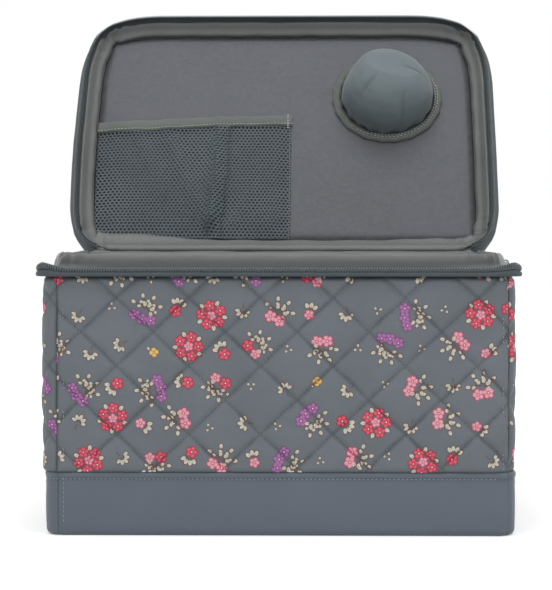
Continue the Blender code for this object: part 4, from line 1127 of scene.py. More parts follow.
# %% A coil
def zip_coil(body, way):
    us = steps(-ZIP_END_RUN, ZIP_END_RUN, 1.5 * MM)
    middle_z, step = ZIP_PLANE - way * 2.05 * MM, 0.1 * MM
    path = zip_laid(body, us, COIL_OUT, middle_z)
    out = (zip_laid(body, us, COIL_OUT + step, middle_z) - path) / step
    up = (zip_laid(body, us, COIL_OUT, middle_z + way * step) - path) / step
    values = {**COIL_SIZES, "Nylon": finishes["coil"]}
    coil = grown(body + "_zip_coil", path, "coil", values, {"out": out, "up": up})
    finish_off(coil, body, body + "_zip_chain", slot="zip_coil")


# %% A tape
def zip_cloth(body, profile):
    profile = np.array(profile) * MM
    us = steps(-ZIP_END_RUN, ZIP_END_RUN, 2.6 * MM)
    u, o, z = swept(us, profile)
    wave = 0.16 * MM * ripple(ring(u, 0 * o, 0.3 * z), 14 * MM, 2)
    points, inner = zip_laid(body, u, o + wave, z), None
    if body == "case":
        points = points[:, ::-1]
    else:
        # Painted shade: a dark line on the lid's facing where it turns up by the coil.
        inner = 0.8 * np.exp(-(((o - 0.6 * MM) / (0.6 * MM)) ** 2))
    lengths = profile_lengths(profile)
    tape = cloth_grid(body + "_zip_cloth", points, us, lengths, finishes["tape"], shade=inner)
    finish_off(tape, body, body + "_zip_tape", slot="zip_tape")
    declare(tape, us[-1] - us[0], lengths[-1], "stretched")


# %% The two halves of the zip
RIDGE = [(-5.6, 168.75), (-2, 168.6), (0.4, 168.2), (1.9, 167.7), (3.0, 167.75), (3.65, 168.4),
         (3.8, 169.3), (3.4, 170.1), (2.6, 170.5), (1.7, 170.8), (1.45, 171.8), (1.4, 173.1),
         (1.05, 173.5), (0.7, 173.1), (0.6, 171.5), (0.5, 170), (-0.6, 169.4), (-5.6, 169.2)]
FACING = [(-3.0, 181.4), (0.0, 181.2), (0.6, 177), (0.7, 174.9), (1.05, 174.5), (1.4, 174.9),
          (1.45, 176.6), (1.7, 177.3), (2.6, 177.6), (3.4, 178.0), (3.8, 178.9), (4.2, 180.2),
          (5.1, 181.7), (6.1, 183.2), (6.8, 184.9), (6.95, 186.6), (6.6, 187.4), (6.0, 187.2),
          (5.4, 184.6), (3.9, 182.6), (1.9, 180.6), (-3.0, 181.9)]
for body, way, profile, rests_on in (("case", 1, RIDGE, "mouth_lip"), ("lid", -1, FACING, "lid_rim")):
    zip_coil(body, way)
    zip_cloth(body, profile)

# %% [markdown]
# ## Lid
# The real lid is a quilted shell over a board, with a lining panel inside that is framed by a
# gathered roll. Modelling it in its open place would mean working on a slope. So it is drawn
# shut, with the same outline as the walls, and each piece is turned open as it is made.

# %% The lid's side
LID_SIDE = [(0.4, 180.1), (2.0, 180.0), (3.8, 181.2), (5.3, 183.0), (6.2, 184.6), (6.5, 186.3),
            (6.35, 188.0), (5.9, 189.4)]
SIDE_FULLNESS, UNPRINTED = 25 * MM, 165 * MM


def lid_shell():
    """The quilted cloth round the lid's side, with no print near the hinge."""
    us, profile = np.linspace(0, ROUND_TRIP, 560)[:-1], np.array(LID_SIDE) * MM
    u, o, z = swept(us, profile)
    wave = 0.2 * MM * ripple(ring(u, o, z), 16 * MM, 7)
    points, lengths = opened(ring(u, o + wave, z)), profile_lengths(profile)
    name = "lid_quilted_side"
    side = cloth_grid(name, points, us, lengths + 3 * MM, finishes["quilt"], wrap_u=True)
    finish_off(side, "lid", "lid_side_band", slot="printed_quilting")
    declare(side, ROUND_TRIP + SIDE_FULLNESS, lengths[-1], "stretched")
    ink = scattered(us[0], us[-1], lengths[4], lengths[-1], 31)
    ink.shapes = [shape for shape in ink.shapes if abs(shape[1][0] - BACK_MIDDLE) > UNPRINTED]
    ink.lay("lid_side_print", Surface(us, lengths, points), "lid")


lid_shell()

# %% [markdown]
# ## Top of the lid
# The lid's top repeats the walls' quilting and falls away round its edge, where a thin piping is
# sewn in. The piping and the handle are round, and a curve's bevel could make them, but their
# thickness has to change along them. So a tube is built round a path, ring by ring.

# %% A tube
def tube(path, sides, radius, closed=False):
    """Vertices and faces of a round tube along a path, with a radius for each point or for all."""
    path = np.asarray(path, float)
    radius = np.broadcast_to(radius, len(path))
    ahead = np.roll(path, -1, 0) - np.roll(path, 1, 0) if closed else np.gradient(path, axis=0)
    ahead /= np.maximum(np.linalg.norm(ahead, axis=1, keepdims=True), 1e-12)
    side = np.cross(ahead[0], (0.3, 0.2, 0.93))
    turns = (np.arange(sides) * 2 * math.pi / sides)[:, None]
    rows = []
    for place, way, size in zip(path, ahead, radius):
        side = side - way * side.dot(way)
        side /= np.linalg.norm(side)
        rows.append(place + size * (np.cos(turns) * side + np.sin(turns) * np.cross(way, side)))
    faces = []
    for k in range(len(path) if closed else len(path) - 1):
        n = (k + 1) % len(path)
        for s in range(sides):
            t = (s + 1) % sides
            faces.append((k * sides + s, k * sides + t, n * sides + t, n * sides + s))
    if not closed:
        faces.append(tuple(range(sides))[::-1])
        faces.append(tuple((len(path) - 1) * sides + s for s in range(sides)))
    return np.concatenate(rows), faces


# %% The top and its piping
LID_TOP = 194.3 * MM
TOP_OUT, PRINT_INSET = 5.3 * MM, 4 * MM


def lid_top():
    """The quilted top, which falls away at its edge, and its print."""
    half_x, half_y, radius = HALF_WIDTH + TOP_OUT, HALF_DEPTH + TOP_OUT, CORNER + TOP_OUT
    us, vs, x, y, edge = rounded_grid(half_x, half_y, radius, 1.9 * MM)
    near_edge = np.clip(1 - edge / (6 * MM), 0, 1)
    fall = 3.6 * MM * (1 - np.sqrt(np.clip(1 - near_edge**2, 0, 1)))
    drop = quilt_drop(x - CROSSING_X, y) * np.clip(edge / (8 * MM), 0, 1)
    wave = 0.4 * MM * ripple(np.stack([x, y, 0 * x], axis=-1), 45 * MM, 12)
    points = opened(np.stack([x, y, LID_TOP - fall - drop + wave], axis=-1))
    piece = cloth_grid("lid_quilted_top", points, us - CROSSING_X, vs, finishes["quilt"])
    finish_off(piece, "lid", "lid_quilt_panel", slot="printed_quilting")
    low, high = us[0] + PRINT_INSET, us[-1] - PRINT_INSET
    ink = scattered(low, high, vs[0] + PRINT_INSET, vs[-1] - PRINT_INSET, 41)
    ink.lay("lid_top_print", Surface(us, vs, points), "lid")


lid_top()
cord_runs = np.linspace(0, ROUND_TRIP, 420)[:-1]
cord = tube(opened(ring(cord_runs, 5.6 * MM, 190.1 * MM)), 8, 1.0 * MM, closed=True)
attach(add_mesh("lid_edge_piping", *cord, finishes["satin"]), "lid")

# %% [markdown]
# ## Roll inside the lid's rim
# The roll is the same kind of tube as the lip. On the real lid its inner edge is scalloped by
# gathers, and at the hinge it is fuller, because it also covers the seam of the hinge there. One
# function reshapes the cross-section as it goes round, so that nothing has to be sculpted.

# %% The lid's roll
LID_ROLL = [(-9.3, 189.2), (-10.2, 187.3), (-10.2, 185.6), (-8.9, 184.1), (-6.8, 183.5), (-5.0, 182.6),
            (-3.2, 180.6), (-1.0, 178.6), (0.3, 179.8), (0.4, 183), (0.2, 187.8), (-1.0, 189.3),
            (-5.0, 189.5)]


def roll_shape(u, o, z):
    """The inner edge is scalloped, with fuller folds at the hinge's corners."""
    from_back = u - BACK_MIDDLE
    back = eased(np.clip((FRONT_RUN / 2 - 2 * MM - np.abs(from_back)) / (10 * MM), 0, 1))
    near, inner = corner_near(u), np.clip((-4 * MM - o) / (5 * MM), 0, 1)
    scallop = 0.8 * MM * np.sin(u / (5.2 * MM) + 2 * np.sin(u / (31 * MM)))
    left_fold = 6.5 * MM * np.exp(-(((from_back - FRONT_RUN / 2 + 22 * MM) / (42 * MM)) ** 2))
    right_fold = 2.0 * MM * np.exp(-(((from_back + FRONT_RUN / 2 - 30 * MM) / (30 * MM)) ** 2))
    folds = 5.0 * MM * near**1.5 + scallop * (0.3 + 1.3 * near) + left_fold + right_fold
    o = o - inner * folds
    outer = np.clip((o + 3 * MM) / (3 * MM), 0, 1)
    lower = np.clip((187 * MM - z) / (4 * MM), 0, 1)
    return o + 3.3 * MM * back * outer, z - 0.5 * MM * back * lower


padded_roll("lid_rim", LID_ROLL, 8.0, 0.85, 0.12, "lid", "lid_rim_roll", roll_shape)

# %% [markdown]
# ## Lining of the lid
# A flat panel of lining is stretched over the lid's board. It dips a little between its edges,
# and a dark gutter runs round it, where it turns down under the roll. The dip is smooth noise,
# and the gutter is both a bend in the cloth and painted shade, as the real gutter lies in shade.

# %% The lining panel and its board
PANEL_X, PANEL_Y = 143.5 * MM, 98.0 * MM


def lid_lining():
    us, vs = steps(-PANEL_X, PANEL_X, 3 * MM), steps(-PANEL_Y, PANEL_Y, 3 * MM)
    x, y = np.meshgrid(us, -vs, indexing="ij")
    flat = np.stack([x, y, 0 * x], axis=-1)
    edge = np.minimum(PANEL_X - np.abs(x), PANEL_Y - np.abs(y))
    gutter = 2.4 * MM * np.clip(1 - (edge - 0.5 * MM) / (6 * MM), 0, 1) ** 2
    dip = 0.7 * MM * ripple(flat * np.array([0.6, 1.1, 1]), 55 * MM, 3)
    dip = (dip + 0.25 * MM * ripple(flat, 20 * MM, 6)) * np.clip(edge / (12 * MM), 0, 1)
    points = opened(np.stack([x, y, LID_FACE + 0.2 * MM + dip + gutter], axis=-1))
    # Painted shade: a wavering dark gutter round the panel's edge, under the roll.
    wander = 0.9 * MM * ripple(flat, 7 * MM, 2)
    shade = np.clip(1 - (edge + wander - 2.7 * MM) / (2.2 * MM), 0, 1)
    piece = cloth_grid("lid_lining", points, us, vs, finishes["mauve"], shade=shade)
    finish_off(piece, "lid", "lid_lining_panel", slot="mauve_lining")
    declare(piece, 2 * PANEL_X, 2 * PANEL_Y, "stretched")


def lid_board():
    us, vs, x, y, _ = rounded_grid(146 * MM, 100.5 * MM, 9 * MM, 8 * MM)
    points = opened(np.stack([x, y, np.full_like(x, 189.9 * MM)], axis=-1))
    board = cloth_grid("lid_stiffener", points, us, vs, finishes["board"])
    solid = board.modifiers.new("board", "SOLIDIFY")
    solid.thickness, solid.offset = 1.2 * MM, -1
    finish_off(board, "lid", "lid_board", slot="board")


lid_lining()
lid_board()

# %% [markdown]
# ## Net pocket
# The real net is a sheet of small six-sided holes, sewn down on three sides. It is a little
# full, so it hangs in soft folds, and one pleat doubles it. A see-through picture of a net would
# cast a wrong shadow, and cloth simulation of so many strands is slow. So each hole is a ring of
# six flat strands, and a formula lifts them into folds.

# %% Where the pocket is
POCKET_LEFT, POCKET_RIGHT, POCKET_BOTTOM = -141.9 * MM, 4.5 * MM, 96.4 * MM
MOUTH_LEFT, MOUTH_RIGHT = -1.0 * MM, -7.7 * MM
POCKET_WIDTH = POCKET_RIGHT - POCKET_LEFT


def mouth_y(x):
    return MOUTH_LEFT + (MOUTH_RIGHT - MOUTH_LEFT) * ((x - POCKET_LEFT) / POCKET_WIDTH)


def pocket_place(x, y):
    """Shares of the way across the pocket and up it."""
    return (x - POCKET_LEFT) / POCKET_WIDTH, (POCKET_BOTTOM - y) / (POCKET_BOTTOM - mouth_y(x))


# %% How the net hangs
FULLNESS = 1.6 * MM
# Each fold's place across the pocket, its lean, its width and its height in mm.
FOLDS = ((0.60, 0.03, 0.030, 3.4), (0.66, 0.16, 0.030, 1.9), (0.47, -0.26, 0.040, 1.9),
         (0.34, -0.34, 0.045, 1.4), (0.20, -0.20, 0.05, 1.0), (0.78, 0.20, 0.040, 1.6),
         (0.91, 0.06, 0.030, 1.2))


def net_lift(x, y):
    """How far the net stands off the lining: its fullness, and folds that fan out downwards."""
    s, t = pocket_place(x, y)
    rise = eased(np.clip(np.minimum(s, 1 - s) * 9, 0, 1) * np.clip(t * 6, 0, 1))
    lift = FULLNESS * rise
    for place, lean, wide, high in FOLDS:
        across = (s - place - lean * (t - 0.55)) / wide
        fading = 0.55 + 0.45 * np.cos(3 * t + place * 9)
        lift = lift + high * MM * np.exp(-(across**2)) * rise * fading
    return lift


# %% The holes of the net
NET_PITCH, NET_HOLE = 3.0 * MM, 0.68
ROW_HEIGHT = NET_PITCH * math.sqrt(3) / 2
SAME_PLACE = 4e-6


class Net:
    """Six-sided holes whose strands share their outer corners."""

    def __init__(self):
        self.verts, self.faces, self.index = [], [], {}

    def vert(self, x, y, layer):
        key = (round(x / SAME_PLACE), round(y / SAME_PLACE), layer)
        if key not in self.index:
            self.index[key] = len(self.verts)
            self.verts.append((x, y, layer))
        return self.index[key]

    def cell(self, cx, cy, layer):
        outer = NET_PITCH / math.sqrt(3)
        around = []
        for k in range(6):
            c, s = math.cos(math.pi / 6 + k * math.pi / 3), math.sin(math.pi / 6 + k * math.pi / 3)
            for reach in (outer, outer * NET_HOLE):
                around.append(self.vert(cx + reach * c, cy + reach * s, layer))
        for k in range(0, 12, 2):
            after = (k + 2) % 12
            self.faces.append((around[k], around[after], around[after + 1], around[k + 1]))


# %% The net
NET_FULLNESS = 1.09
PLEAT_SHIFT = (1.1 * MM, 0.7 * MM)


def pocket_net():
    """The net, with a second layer of holes where a pleat doubles it."""
    net = Net()
    for row in range(int((POCKET_BOTTOM - MOUTH_RIGHT) / ROW_HEIGHT) + 2):
        for column in range(int(POCKET_WIDTH / NET_PITCH) + 1):
            cx = POCKET_LEFT + (column + (0.5 if row % 2 else 0)) * NET_PITCH
            cy = POCKET_BOTTOM - row * ROW_HEIGHT
            if cx < POCKET_RIGHT and cy > mouth_y(cx) - 2.5 * MM:
                net.cell(cx, cy, 0)
                s, t = pocket_place(cx, cy)
                if 0.02 < s - 0.565 - 0.03 * (t - 0.5) < 0.09:
                    net.cell(cx + PLEAT_SHIFT[0], cy + PLEAT_SHIFT[1], 1)
    flat = np.array(net.verts)
    x, y = np.clip(flat[:, 0], POCKET_LEFT, POCKET_RIGHT), np.minimum(flat[:, 1], POCKET_BOTTOM)
    s, t = pocket_place(x, y)
    free = np.clip(np.minimum(s, 1 - s) * 8, 0, 1) * np.clip(t * (1 - t) * 5, 0, 1)
    slide = 1.4 * MM * np.sin(9 * s + 2.5 * t) * free
    z = LID_FACE - 0.5 * MM - net_lift(x, y) - 0.9 * MM * flat[:, 2]
    points = opened(np.stack([x + slide, y, z], axis=-1))
    loops = [(flat[i][0], flat[i][1]) for face in net.faces for i in face]
    made = add_mesh("pocket_mesh", points, net.faces, finishes["net"], loops)
    solid = made.modifiers.new("yarn", "SOLIDIFY")
    solid.thickness, solid.offset = 0.4 * MM, 0
    finish_off(made, "lid", "pocket_net", slot="net")
    height = POCKET_BOTTOM - (MOUTH_LEFT + MOUTH_RIGHT) / 2
    declare(made, POCKET_WIDTH * NET_FULLNESS, height, "gathered")
    print(made.name, len(net.faces), "strands")


pocket_net()

# %% [markdown]
# ## Mouth of the pocket
# A folded binding edges the mouth, sewn along with pale thread. A plain strip would do from
# afar, but the real one waves with the net, so it takes its lift from the same formula.

# %% The binding of the mouth
HEM = [(0.2, -0.4), (0.1, -1.7), (-0.9, -2.2), (-5, -2.4), (-8.8, -2.0), (-9.7, -1.4), (-9.7, -0.4)]


def on_lining(name, x, y, deep, thread, pitch, radius=0.28 * MM):
    """Stitches along a line on the lid's lining."""
    deep = np.broadcast_to(deep, y.shape)
    line = opened(np.stack([np.broadcast_to(x, y.shape), y, LID_FACE - deep], axis=-1))
    stitches(name, line, "lid", thread, pitch, radius=radius)


def pocket_hem():
    us = steps(POCKET_LEFT - 0.5 * MM, POCKET_RIGHT + 0.4 * MM, 2 * MM)
    profile = np.array(HEM) * MM
    u, down, rise = swept(us, profile)
    s = (u - POCKET_LEFT) / POCKET_WIDTH
    y = mouth_y(u) + down + 0.9 * MM * np.sin(s * 7.2 + 0.4) * np.sin(math.pi * s)
    lift = net_lift(u, mouth_y(u)) * 0.7
    wave = 0.25 * MM * ripple(np.stack([u, y, 0 * u], axis=-1), 9 * MM, 2)
    points = opened(np.stack([u, y, LID_FACE + rise - lift + wave], axis=-1))
    lengths = profile_lengths(profile)
    piece = cloth_grid("pocket_hem", points, us, lengths, finishes["binding"])
    finish_off(piece, "lid", "pocket_binding", slot="binding")
    declare(piece, us[-1] - us[0], lengths[-1], "stretched")
    sewn = (us, y[:, 0] - 1.5 * MM, 2.75 * MM + lift[:, 0])
    on_lining("pocket_hem_stitches", *sewn, "white_thread", 2.6 * MM, 0.24 * MM)


pocket_hem()

# %% Stitches down the pocket's right side
ys = steps(MOUTH_RIGHT + 2 * MM, POCKET_BOTTOM, 3 * MM)
on_lining("pocket_side_stitches", POCKET_RIGHT - 1.2 * MM, ys, 1.1 * MM, "thread", 2.4 * MM)
ys = steps(MOUTH_RIGHT - 9.2 * MM, MOUTH_RIGHT + 2.5 * MM, 1.5 * MM)
for k, inset in enumerate((2.2 * MM, 3.0 * MM)):
    tack = (POCKET_RIGHT - inset, ys, 2.5 * MM)
    on_lining(f"pocket_tack_{k}", *tack, "white_thread", 1.5 * MM, 0.36 * MM)
print(f"the pocket is {POCKET_WIDTH / MM:.0f} mm wide")

# %% [markdown]
# ## Pincushion
# A stuffed dome, whose cloth is drawn in under a round binding. Its top is pressed a little
# flat, and the cloth breaks into small folds round the foot. A soft body could be inflated, but
# the flat spot and the creases of the real one would be left to chance. So the dome is a turned
# outline that a few formulas press, crease and gather.

# %% The dome's outline
CUSHION_X, CUSHION_Y, CUSHION_R, CUSHION_H = 78.3 * MM, -34.5 * MM, 35 * MM, 35.5 * MM
DOME_HEIGHTS = [0.0, 0.1, 0.24, 0.42, 0.62, 0.79, 0.92, 0.985, 1.0]
DOME_RADII = [0.95, 0.99, 1.0, 0.975, 0.89, 0.74, 0.53, 0.27, 0.0]
# Each crease's middle, its direction and its length in mm.
CREASES = ((14, 26, 0.15, 0.99, 8), (-14, 12, -0.5, 0.86, 9), (20, -6, 0.97, 0.2, 8))


def dome_outline():
    """Heights and radii up the dome, as shares of its own height and radius."""
    heights = 1 - (1 - np.linspace(0, 1, 44)) ** 1.7
    radii = np.interp(heights, DOME_HEIGHTS, DOME_RADII)
    radii = np.convolve(np.pad(radii, 2, mode="edge"), np.ones(5) / 5, "valid")
    radii[-1] = 0.002
    return heights, radii


# %% Pressing and creasing the dome
def dome_facet(x, y):
    """How far each point is pressed in at the top, from 0 to 1."""
    across = (x - 3 * MM) * 0.94 + (y + 9 * MM) * 0.34
    along = (y + 9 * MM) * 0.94 - (x - 3 * MM) * 0.34
    return np.clip(1 - (across / (21 * MM)) ** 2 - (along / (12 * MM)) ** 2, 0, 1)


def dome_creases(x, y):
    """How deep each point lies in one of the three creases."""
    creases = 0
    for cx, cy, dx, dy, long in CREASES:
        side = (x - cx * MM) * dy - (y - cy * MM) * dx + 0.02 * (x**2 + y**2) / MM * 0.2
        ahead = (x - cx * MM) * dx + (y - cy * MM) * dy
        creases = creases + np.exp(-((side / (1.5 * MM)) ** 2)) * np.exp(-((ahead / (long * MM)) ** 2))
    return creases


# %% The dome
def pincushion():
    """The dome, out of round by a few waves, gathered at its foot, pressed and creased."""
    heights, radii = dome_outline()
    turns = np.linspace(0, 2 * math.pi, 129)[:-1]
    turn, h = np.meshgrid(turns, heights, indexing="ij")
    foot = np.exp(-(((h - 0.06) / 0.13) ** 2))
    gathers = 0.030 * foot * np.sin(turn * 17 + 2 * np.sin(turn * 3))
    flats = 0.028 * np.sin(turn * 3 + 0.6) * np.clip(h * 2, 0, 1) + 0.014 * np.sin(turn * 5 - 1.0)
    reach = radii * CUSHION_R * (1 + gathers + flats)
    x, y = reach * np.cos(turn), reach * np.sin(turn)
    creases = dome_creases(x, y) * (h > 0.2)
    height = h * CUSHION_H - 2.2 * MM * dome_facet(x, y) * (h > 0.5) - 1.0 * MM * creases
    points = [CUSHION_X + x, CUSHION_Y + y, LID_FACE - 0.3 * MM - height]
    points = np.stack(points, axis=-1)
    wobble = 0.8 * MM * ripple(points, 15 * MM, 4) + 0.22 * MM * ripple(points, 6 * MM, 2) * (0.5 + foot)
    outward = np.stack([np.cos(turn), np.sin(turn), 0 * turn], axis=-1)
    points = points + (wobble * (h < 0.97))[..., None] * outward
    lengths = (turns * CUSHION_R, (heights * 50 * MM)[::-1])
    # Painted shade in the dome's creases.
    cloth = {"wrap_u": True, "shade": (0.32 * creases)[:, ::-1]}
    piece = cloth_grid("pincushion_dome", opened(points)[:, ::-1], *lengths, finishes["cushion"], **cloth)
    soft = piece.modifiers.new("soft", "SUBSURF")
    soft.levels = soft.render_levels = 1
    finish_off(piece, "lid", "pincushion", slot="cushion_cloth")


pincushion()

# %% [markdown]
# ## Binding of the pincushion
# A round binding hides the dome's raw edge. One full ring of stitches holds it to the lining,
# and two shorter rows lie inside that ring at the right. A torus would be too round for folded
# cloth, so the binding is a flattened cross-section that is swept in a circle.

# %% The ring
RING = [(35.2, -0.4), (35.4, -2.2), (36.2, -3.0), (38.5, -3.3), (41.0, -2.7), (42.0, -1.6), (42.1, -0.4)]


def on_circle(radius, turns, z):
    """Points on a circle round the pincushion."""
    x, y = CUSHION_X + radius * np.cos(turns), CUSHION_Y + radius * np.sin(turns)
    return opened(np.stack(np.broadcast_arrays(x, y, z), axis=-1))


def cushion_ring():
    turns, profile = np.linspace(0, 2 * math.pi, 145)[:-1], np.array(RING) * MM
    turn, r, high = swept(turns, profile)
    waves = 0.25 * MM * np.sin(turn * 27 + 2 * np.sin(turn * 5)) * (high < -2 * MM)
    r = r + 0.35 * MM * np.sin(turn * 19 + 1.5 * np.sin(turn * 4))
    points, lengths = on_circle(r, turn, LID_FACE + high + waves), profile_lengths(profile)
    # Painted shade at the binding's inner edge, in the gap against the dome.
    cloth = {"wrap_u": True, "shade": 0.8 * np.clip(1 - (r - 35.3 * MM) / (2.4 * MM), 0, 1)}
    name = "pincushion_binding"
    piece = cloth_grid(name, points, turns * 38 * MM, lengths, finishes["binding"], **cloth)
    finish_off(piece, "lid", "pincushion_ring", slot="binding")
    declare(piece, 2 * math.pi * 38.5 * MM, lengths[-1], "stretched")


cushion_ring()

# %% Its stitches
STITCH_RINGS = {
    "outer": (40.6, 2.9, 0, 2 * math.pi, "olive_thread", 2.2),
    "middle": (38.9, 3.3, -0.5, 2.2, "white_thread", 2.9),
    "inner": (37.2, 3.3, -0.2, 1.9, "white_thread", 2.6),
}
for name, (radius, deep, first, last, thread, pitch) in STITCH_RINGS.items():
    line = on_circle(radius * MM, np.linspace(first, last, 120), LID_FACE - deep * MM)
    stitches(f"binding_stitches_{name}", line, "lid", thread, pitch * MM, 0.55, 0.24 * MM)
    print(f"{name} stitches: {radius * (last - first):.0f} mm long")

# %% [markdown]
# ## Hinge strip
# On the real box one strip of cloth joins the lid to the back wall. The CAD model has two stiff
# flaps instead, because a rigid piece can't ride on two bodies. Here one sheet takes the place
# of both, its foot laid on the box and its top on the open lid, and it is given two faces
# because both of its sides can be seen.

# %% The strip
HINGE_WIDTH = 256 * MM
HINGE_FOOT = [(-5.6, 168.7), (-2.5, 168.9), (0.4, 169.1), (1.9, 170.6), (2.9, 173.2), (3.8, 176.2),
              (4.6, 178.8)]
HINGE_HEAD = [(4.2, 179.9), (3.4, 180.6), (1.8, 181.6), (-0.4, 182.4), (-2.6, 182.8)]


def thickened(piece, thickness):
    """Gives a sheet two faces, and keeps the result as its mesh."""
    solid = piece.modifiers.new("cloth", "SOLIDIFY")
    solid.thickness, solid.offset = thickness, 0
    kept_as_mesh(piece)


def hinge_strip():
    us = steps(BACK_MIDDLE - HINGE_WIDTH / 2, BACK_MIDDLE + HINGE_WIDTH / 2, 3 * MM)
    rows = [ring(us, o * MM, z * MM) for o, z in HINGE_FOOT]
    rows += [opened(ring(us, o * MM, z * MM)) for o, z in HINGE_HEAD]
    rows = np.array(rows).transpose(1, 0, 2)
    lengths = profile_lengths(rows[len(us) // 2])
    # Painted shade along the fold of the strip.
    fold = 0.9 * np.exp(-(((lengths - lengths[6]) / (5 * MM)) ** 2))
    shade = np.broadcast_to(fold, rows.shape[:2])
    piece = cloth_grid("hinge_cloth", rows, us, lengths, finishes["satin"], shade=shade)
    thickened(piece, 0.8 * MM)
    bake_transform(piece)
    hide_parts("hinge_flap_case", "hinge_flap_lid")
    declare(piece, us[-1] - us[0], lengths[-1], "hung")


hinge_strip()

# %% [markdown]
# ## Handle
# No handle shows in the photograph, so this one is a guess: a strap of the quilted cloth, rolled
# and sewn along one side, as such boxes carry on the lid. It could hang by simulation, but its
# CAD piece fixes where it lies, so its path is a curve worked out from that span and drop.

# %% The rolled strap
HANDLE_Z, HANDLE_SPAN, HANDLE_DROP = 201.6 * MM, 136 * MM, 30 * MM
STRAP_RADIUS, STRAP_SIDES, SEAM_OUT = 5.9 * MM, 16, 5.6 * MM


def rolled_handle():
    share = np.linspace(0, 1, 61)
    bowed = np.clip((share * 24 - 1) / 22, 0, 1)
    _, axis_y, axis_z = opened(np.array([0.0, 0.0, HANDLE_Z]), soft=False)
    height = axis_z - HANDLE_DROP * np.sin(math.pi * bowed) ** 2
    path = np.stack([HANDLE_SPAN * (share - 0.5), np.full_like(share, axis_y), height], axis=1)
    narrowed = np.where(np.abs(share - 0.5) > 0.485, 0.93, 1)
    radius = STRAP_RADIUS * (1 - 0.04 * np.cos(share * 26)) * narrowed
    verts, faces = tube(path, STRAP_SIDES, radius)
    uvs = [(i // STRAP_SIDES * 2.6 * MM, i % STRAP_SIDES * 2.3 * MM) for face in faces for i in face]
    strap = add_mesh("handle_roll", verts, faces, finishes["quilt"], uvs)
    finish_off(strap, "handle", "handle", slot="printed_quilting")
    seam = tube(path[2:-2] + np.array([0, SEAM_OUT, 0]), 6, 0.9 * MM)
    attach(add_mesh("handle_seam", *seam, finishes["satin"]), "handle")


rolled_handle()

# %% [markdown]
# ## Patches of the handle
# Each end of the strap is sewn down under a patch of satin, which humps over it and lies flat
# round three sides. The hump is a formula of the distance from the strap's line, and the patch
# has a rounded edge, as cloth with its raw edge turned under has.

# %% The two patches
PATCH_START, PATCH_LENGTH, PATCH_HALF = 68.3 * MM, 30 * MM, 13 * MM
PATCH_CORNERS = [(9, 10.5), (26.8, 10.5), (26.8, -10.5), (9, -10.5)]


def handle_patch(side, sign):
    us, vs = steps(0, PATCH_LENGTH, 1.5 * MM), steps(-PATCH_HALF, PATCH_HALF, 1 * MM)
    u, v = np.meshgrid(us, vs, indexing="ij")
    fall = eased(np.clip(1 - (u - 2 * MM) / (20 * MM), 0, 1))
    across = np.clip(np.abs(v) / (6.6 * MM), 0, 1)
    hump = 11.6 * MM * fall * np.sqrt(np.clip(1 - across**2.4, 0, 1))
    edge = np.minimum(PATCH_LENGTH - u, PATCH_HALF - np.abs(v))
    lip = 1.5 * MM * np.sqrt(np.clip(1 - np.clip(1 - edge / (1.4 * MM), 0, 1) ** 2, 0, 1))
    height = LID_TOP + 0.35 * MM + lip + hump
    points = opened(np.stack([sign * (PATCH_START + u), v, height], axis=-1))
    if sign < 0:
        points = points[:, ::-1]
    piece = cloth_grid(f"handle_patch_{side}", points, us, vs, finishes["satin"])
    finish_off(piece, "lid", f"handle_tab_{side}", slot="plain_satin")
    declare(piece, PATCH_LENGTH + 4 * MM, 2 * PATCH_HALF + 6 * MM, "stretched")
    line = []
    for start, end in zip(np.array(PATCH_CORNERS), np.array(PATCH_CORNERS[1:])):
        for s in np.linspace(0, 1, 12):
            a, b = (start + (end - start) * s) * MM
            line.append((sign * (PATCH_START + a), b, LID_TOP + 1.95 * MM))
    stitches(f"handle_patch_stitches_{side}", opened(np.array(line)), "lid")


handle_patch("left", -1)
handle_patch("right", 1)

# %% [markdown]
# ## Metal and boards
# The CAD sliders, pulls and stops have the right shape but sharp edges, and plated metal always
# has a small round edge that shines. Modelling them again would only lose what fits, so each is
# copied, its loose triangles are joined, and a bevel rounds its edges. The boards inside the
# walls keep their CAD shape and take the finish of grey board.

# %% Sliders, pulls and stops
def softened(node, body):
    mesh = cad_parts[node].data.copy()
    made = placed(node + "_plated", mesh)
    work = bmesh.new()
    work.from_mesh(mesh)
    bmesh.ops.remove_doubles(work, verts=work.verts, dist=0.005 * MM)
    bmesh.ops.recalc_face_normals(work, faces=work.faces)
    work.to_mesh(mesh)
    work.free()
    mesh.materials.clear()
    mesh.materials.append(finishes["metal"])
    bevel = made.modifiers.new("edges", "BEVEL")
    bevel.width, bevel.segments, bevel.limit_method = 0.22 * MM, 2, "ANGLE"
    finish_off(made, body, node, slot="slider_metal")


for side in ("left", "right"):
    softened("slider_" + side, "slider_" + side)
    softened("pull_" + side, "pull_" + side)
    softened("zip_stop_" + side, "case")

# %% Boards
for node in ("front_board", "back_board", "left_board", "right_board", "base_board"):
    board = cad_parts[node].data
    board.materials.clear()
    board.materials.append(finishes["board"])
    print(node, "is grey board")

# %% [markdown]
# ## Studio
# The photograph has a white floor and background, and soft light mostly from above, so that each
# upward curve has a pale edge. A bright floor would also light the box from below, which the
# photograph doesn't show. So the floor and the world are white only to the camera and to what
# metal reflects, and dimmer as light on the object.

# %% White that the camera sees
def seen_directly(tree):
    """1 for a ray from the camera, or one that metal reflects, and 0 for light on the object."""
    rays = tree.nodes.new("ShaderNodeLightPath")
    total = rays.outputs["Is Camera Ray"]
    for name in ("Is Glossy Ray", "Is Transmission Ray"):
        node = tree.nodes.new("ShaderNodeMath")
        node.operation = "MAXIMUM"
        tree.links.new(total, node.inputs[0])
        tree.links.new(rays.outputs[name], node.inputs[1])
        total = node.outputs[0]
    return total


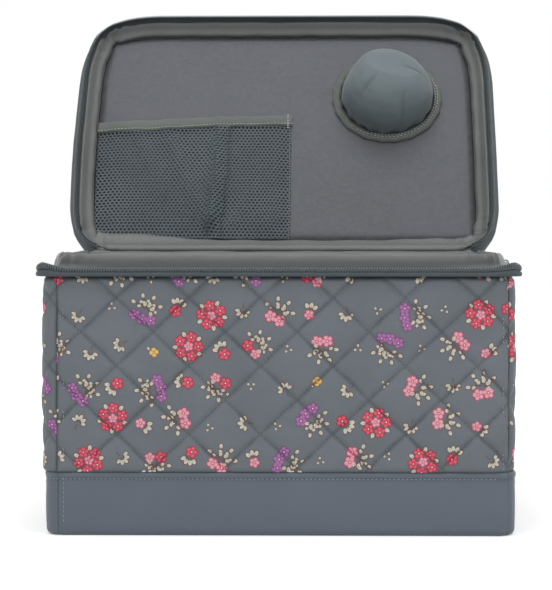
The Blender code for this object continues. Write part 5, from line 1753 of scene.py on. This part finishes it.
# %% Floor
def white_floor():
    bpy.ops.mesh.primitive_plane_add(size=12, location=(0, 0, 0))
    floor = bpy.context.object
    floor.name = "floor"
    n = Nodes("floor_white", 0.9)
    n.set("Base Color", (0.85, 0.85, 0.85, 1))
    n.set("Emission Color", (1, 1, 1, 1))
    away = n.tree.nodes.new("ShaderNodeVectorMath")
    away.operation = "LENGTH"
    n.tree.links.new(n.coordinates("Object"), away.inputs[0])
    glow = n.ramp(away.outputs["Value"], 0.30, 0.9, 0.42, 1.0)
    n.set("Emission Strength", n.math("MULTIPLY", seen_directly(n.tree), glow))
    floor.data.materials.append(n.material)


white_floor()

# %% World
WORLD_LIGHT = 0.38
world = bpy.data.worlds.new("studio")
bpy.context.scene.world = world
world.use_nodes = True
tree = world.node_tree
level = tree.nodes.new("ShaderNodeMath")
level.operation = "MULTIPLY_ADD"
tree.links.new(seen_directly(tree), level.inputs[0])
level.inputs[1].default_value = 1 - WORLD_LIGHT
level.inputs[2].default_value = WORLD_LIGHT
tree.links.new(level.outputs[0], tree.nodes["Background"].inputs["Strength"])
tree.nodes["Background"].inputs["Color"].default_value = (1, 1, 1, 1)

# %% Lamps
AIM = Vector((0, 0, 0.15))
LAMPS = (
    ("front_light", (-0.5, -1.9, 1.5), 1.7, 10),
    ("side_light", (1.3, -1.4, 1.2), 1.5, 5),
    ("top_light", (0.0, -0.2, 1.9), 1.3, 20),
)
for name, place, size, power in LAMPS:
    light = bpy.data.lights.new(name, "AREA")
    light.size, light.energy = size, power
    lamp = placed(name, light)
    lamp.location = place
    lamp.rotation_euler = (AIM - Vector(place)).to_track_quat("-Z", "Y").to_euler()
    print(name, power, "W")

# %% [markdown]
# ## Camera
# The camera was fitted to points of the photograph: a long lens from a little above the mouth,
# almost square to the front. Placing it by eye would leave the box's depth uncertain.

# %% Camera
camera = bpy.data.cameras.new("camera")
camera.sensor_fit, camera.sensor_height, camera.lens = "VERTICAL", 36, 140.1
holder = placed("camera", camera)
holder.location = (0.0292, -1.582, 0.1956)
holder.rotation_euler = (math.radians(90 - 1.545), 0, math.radians(1.185))
bpy.context.scene.camera = holder
bpy.context.scene.view_settings.view_transform = "Standard"
print(f"the camera stands {-holder.location.y:.2f} m in front, with a {camera.lens:.0f} mm lens")
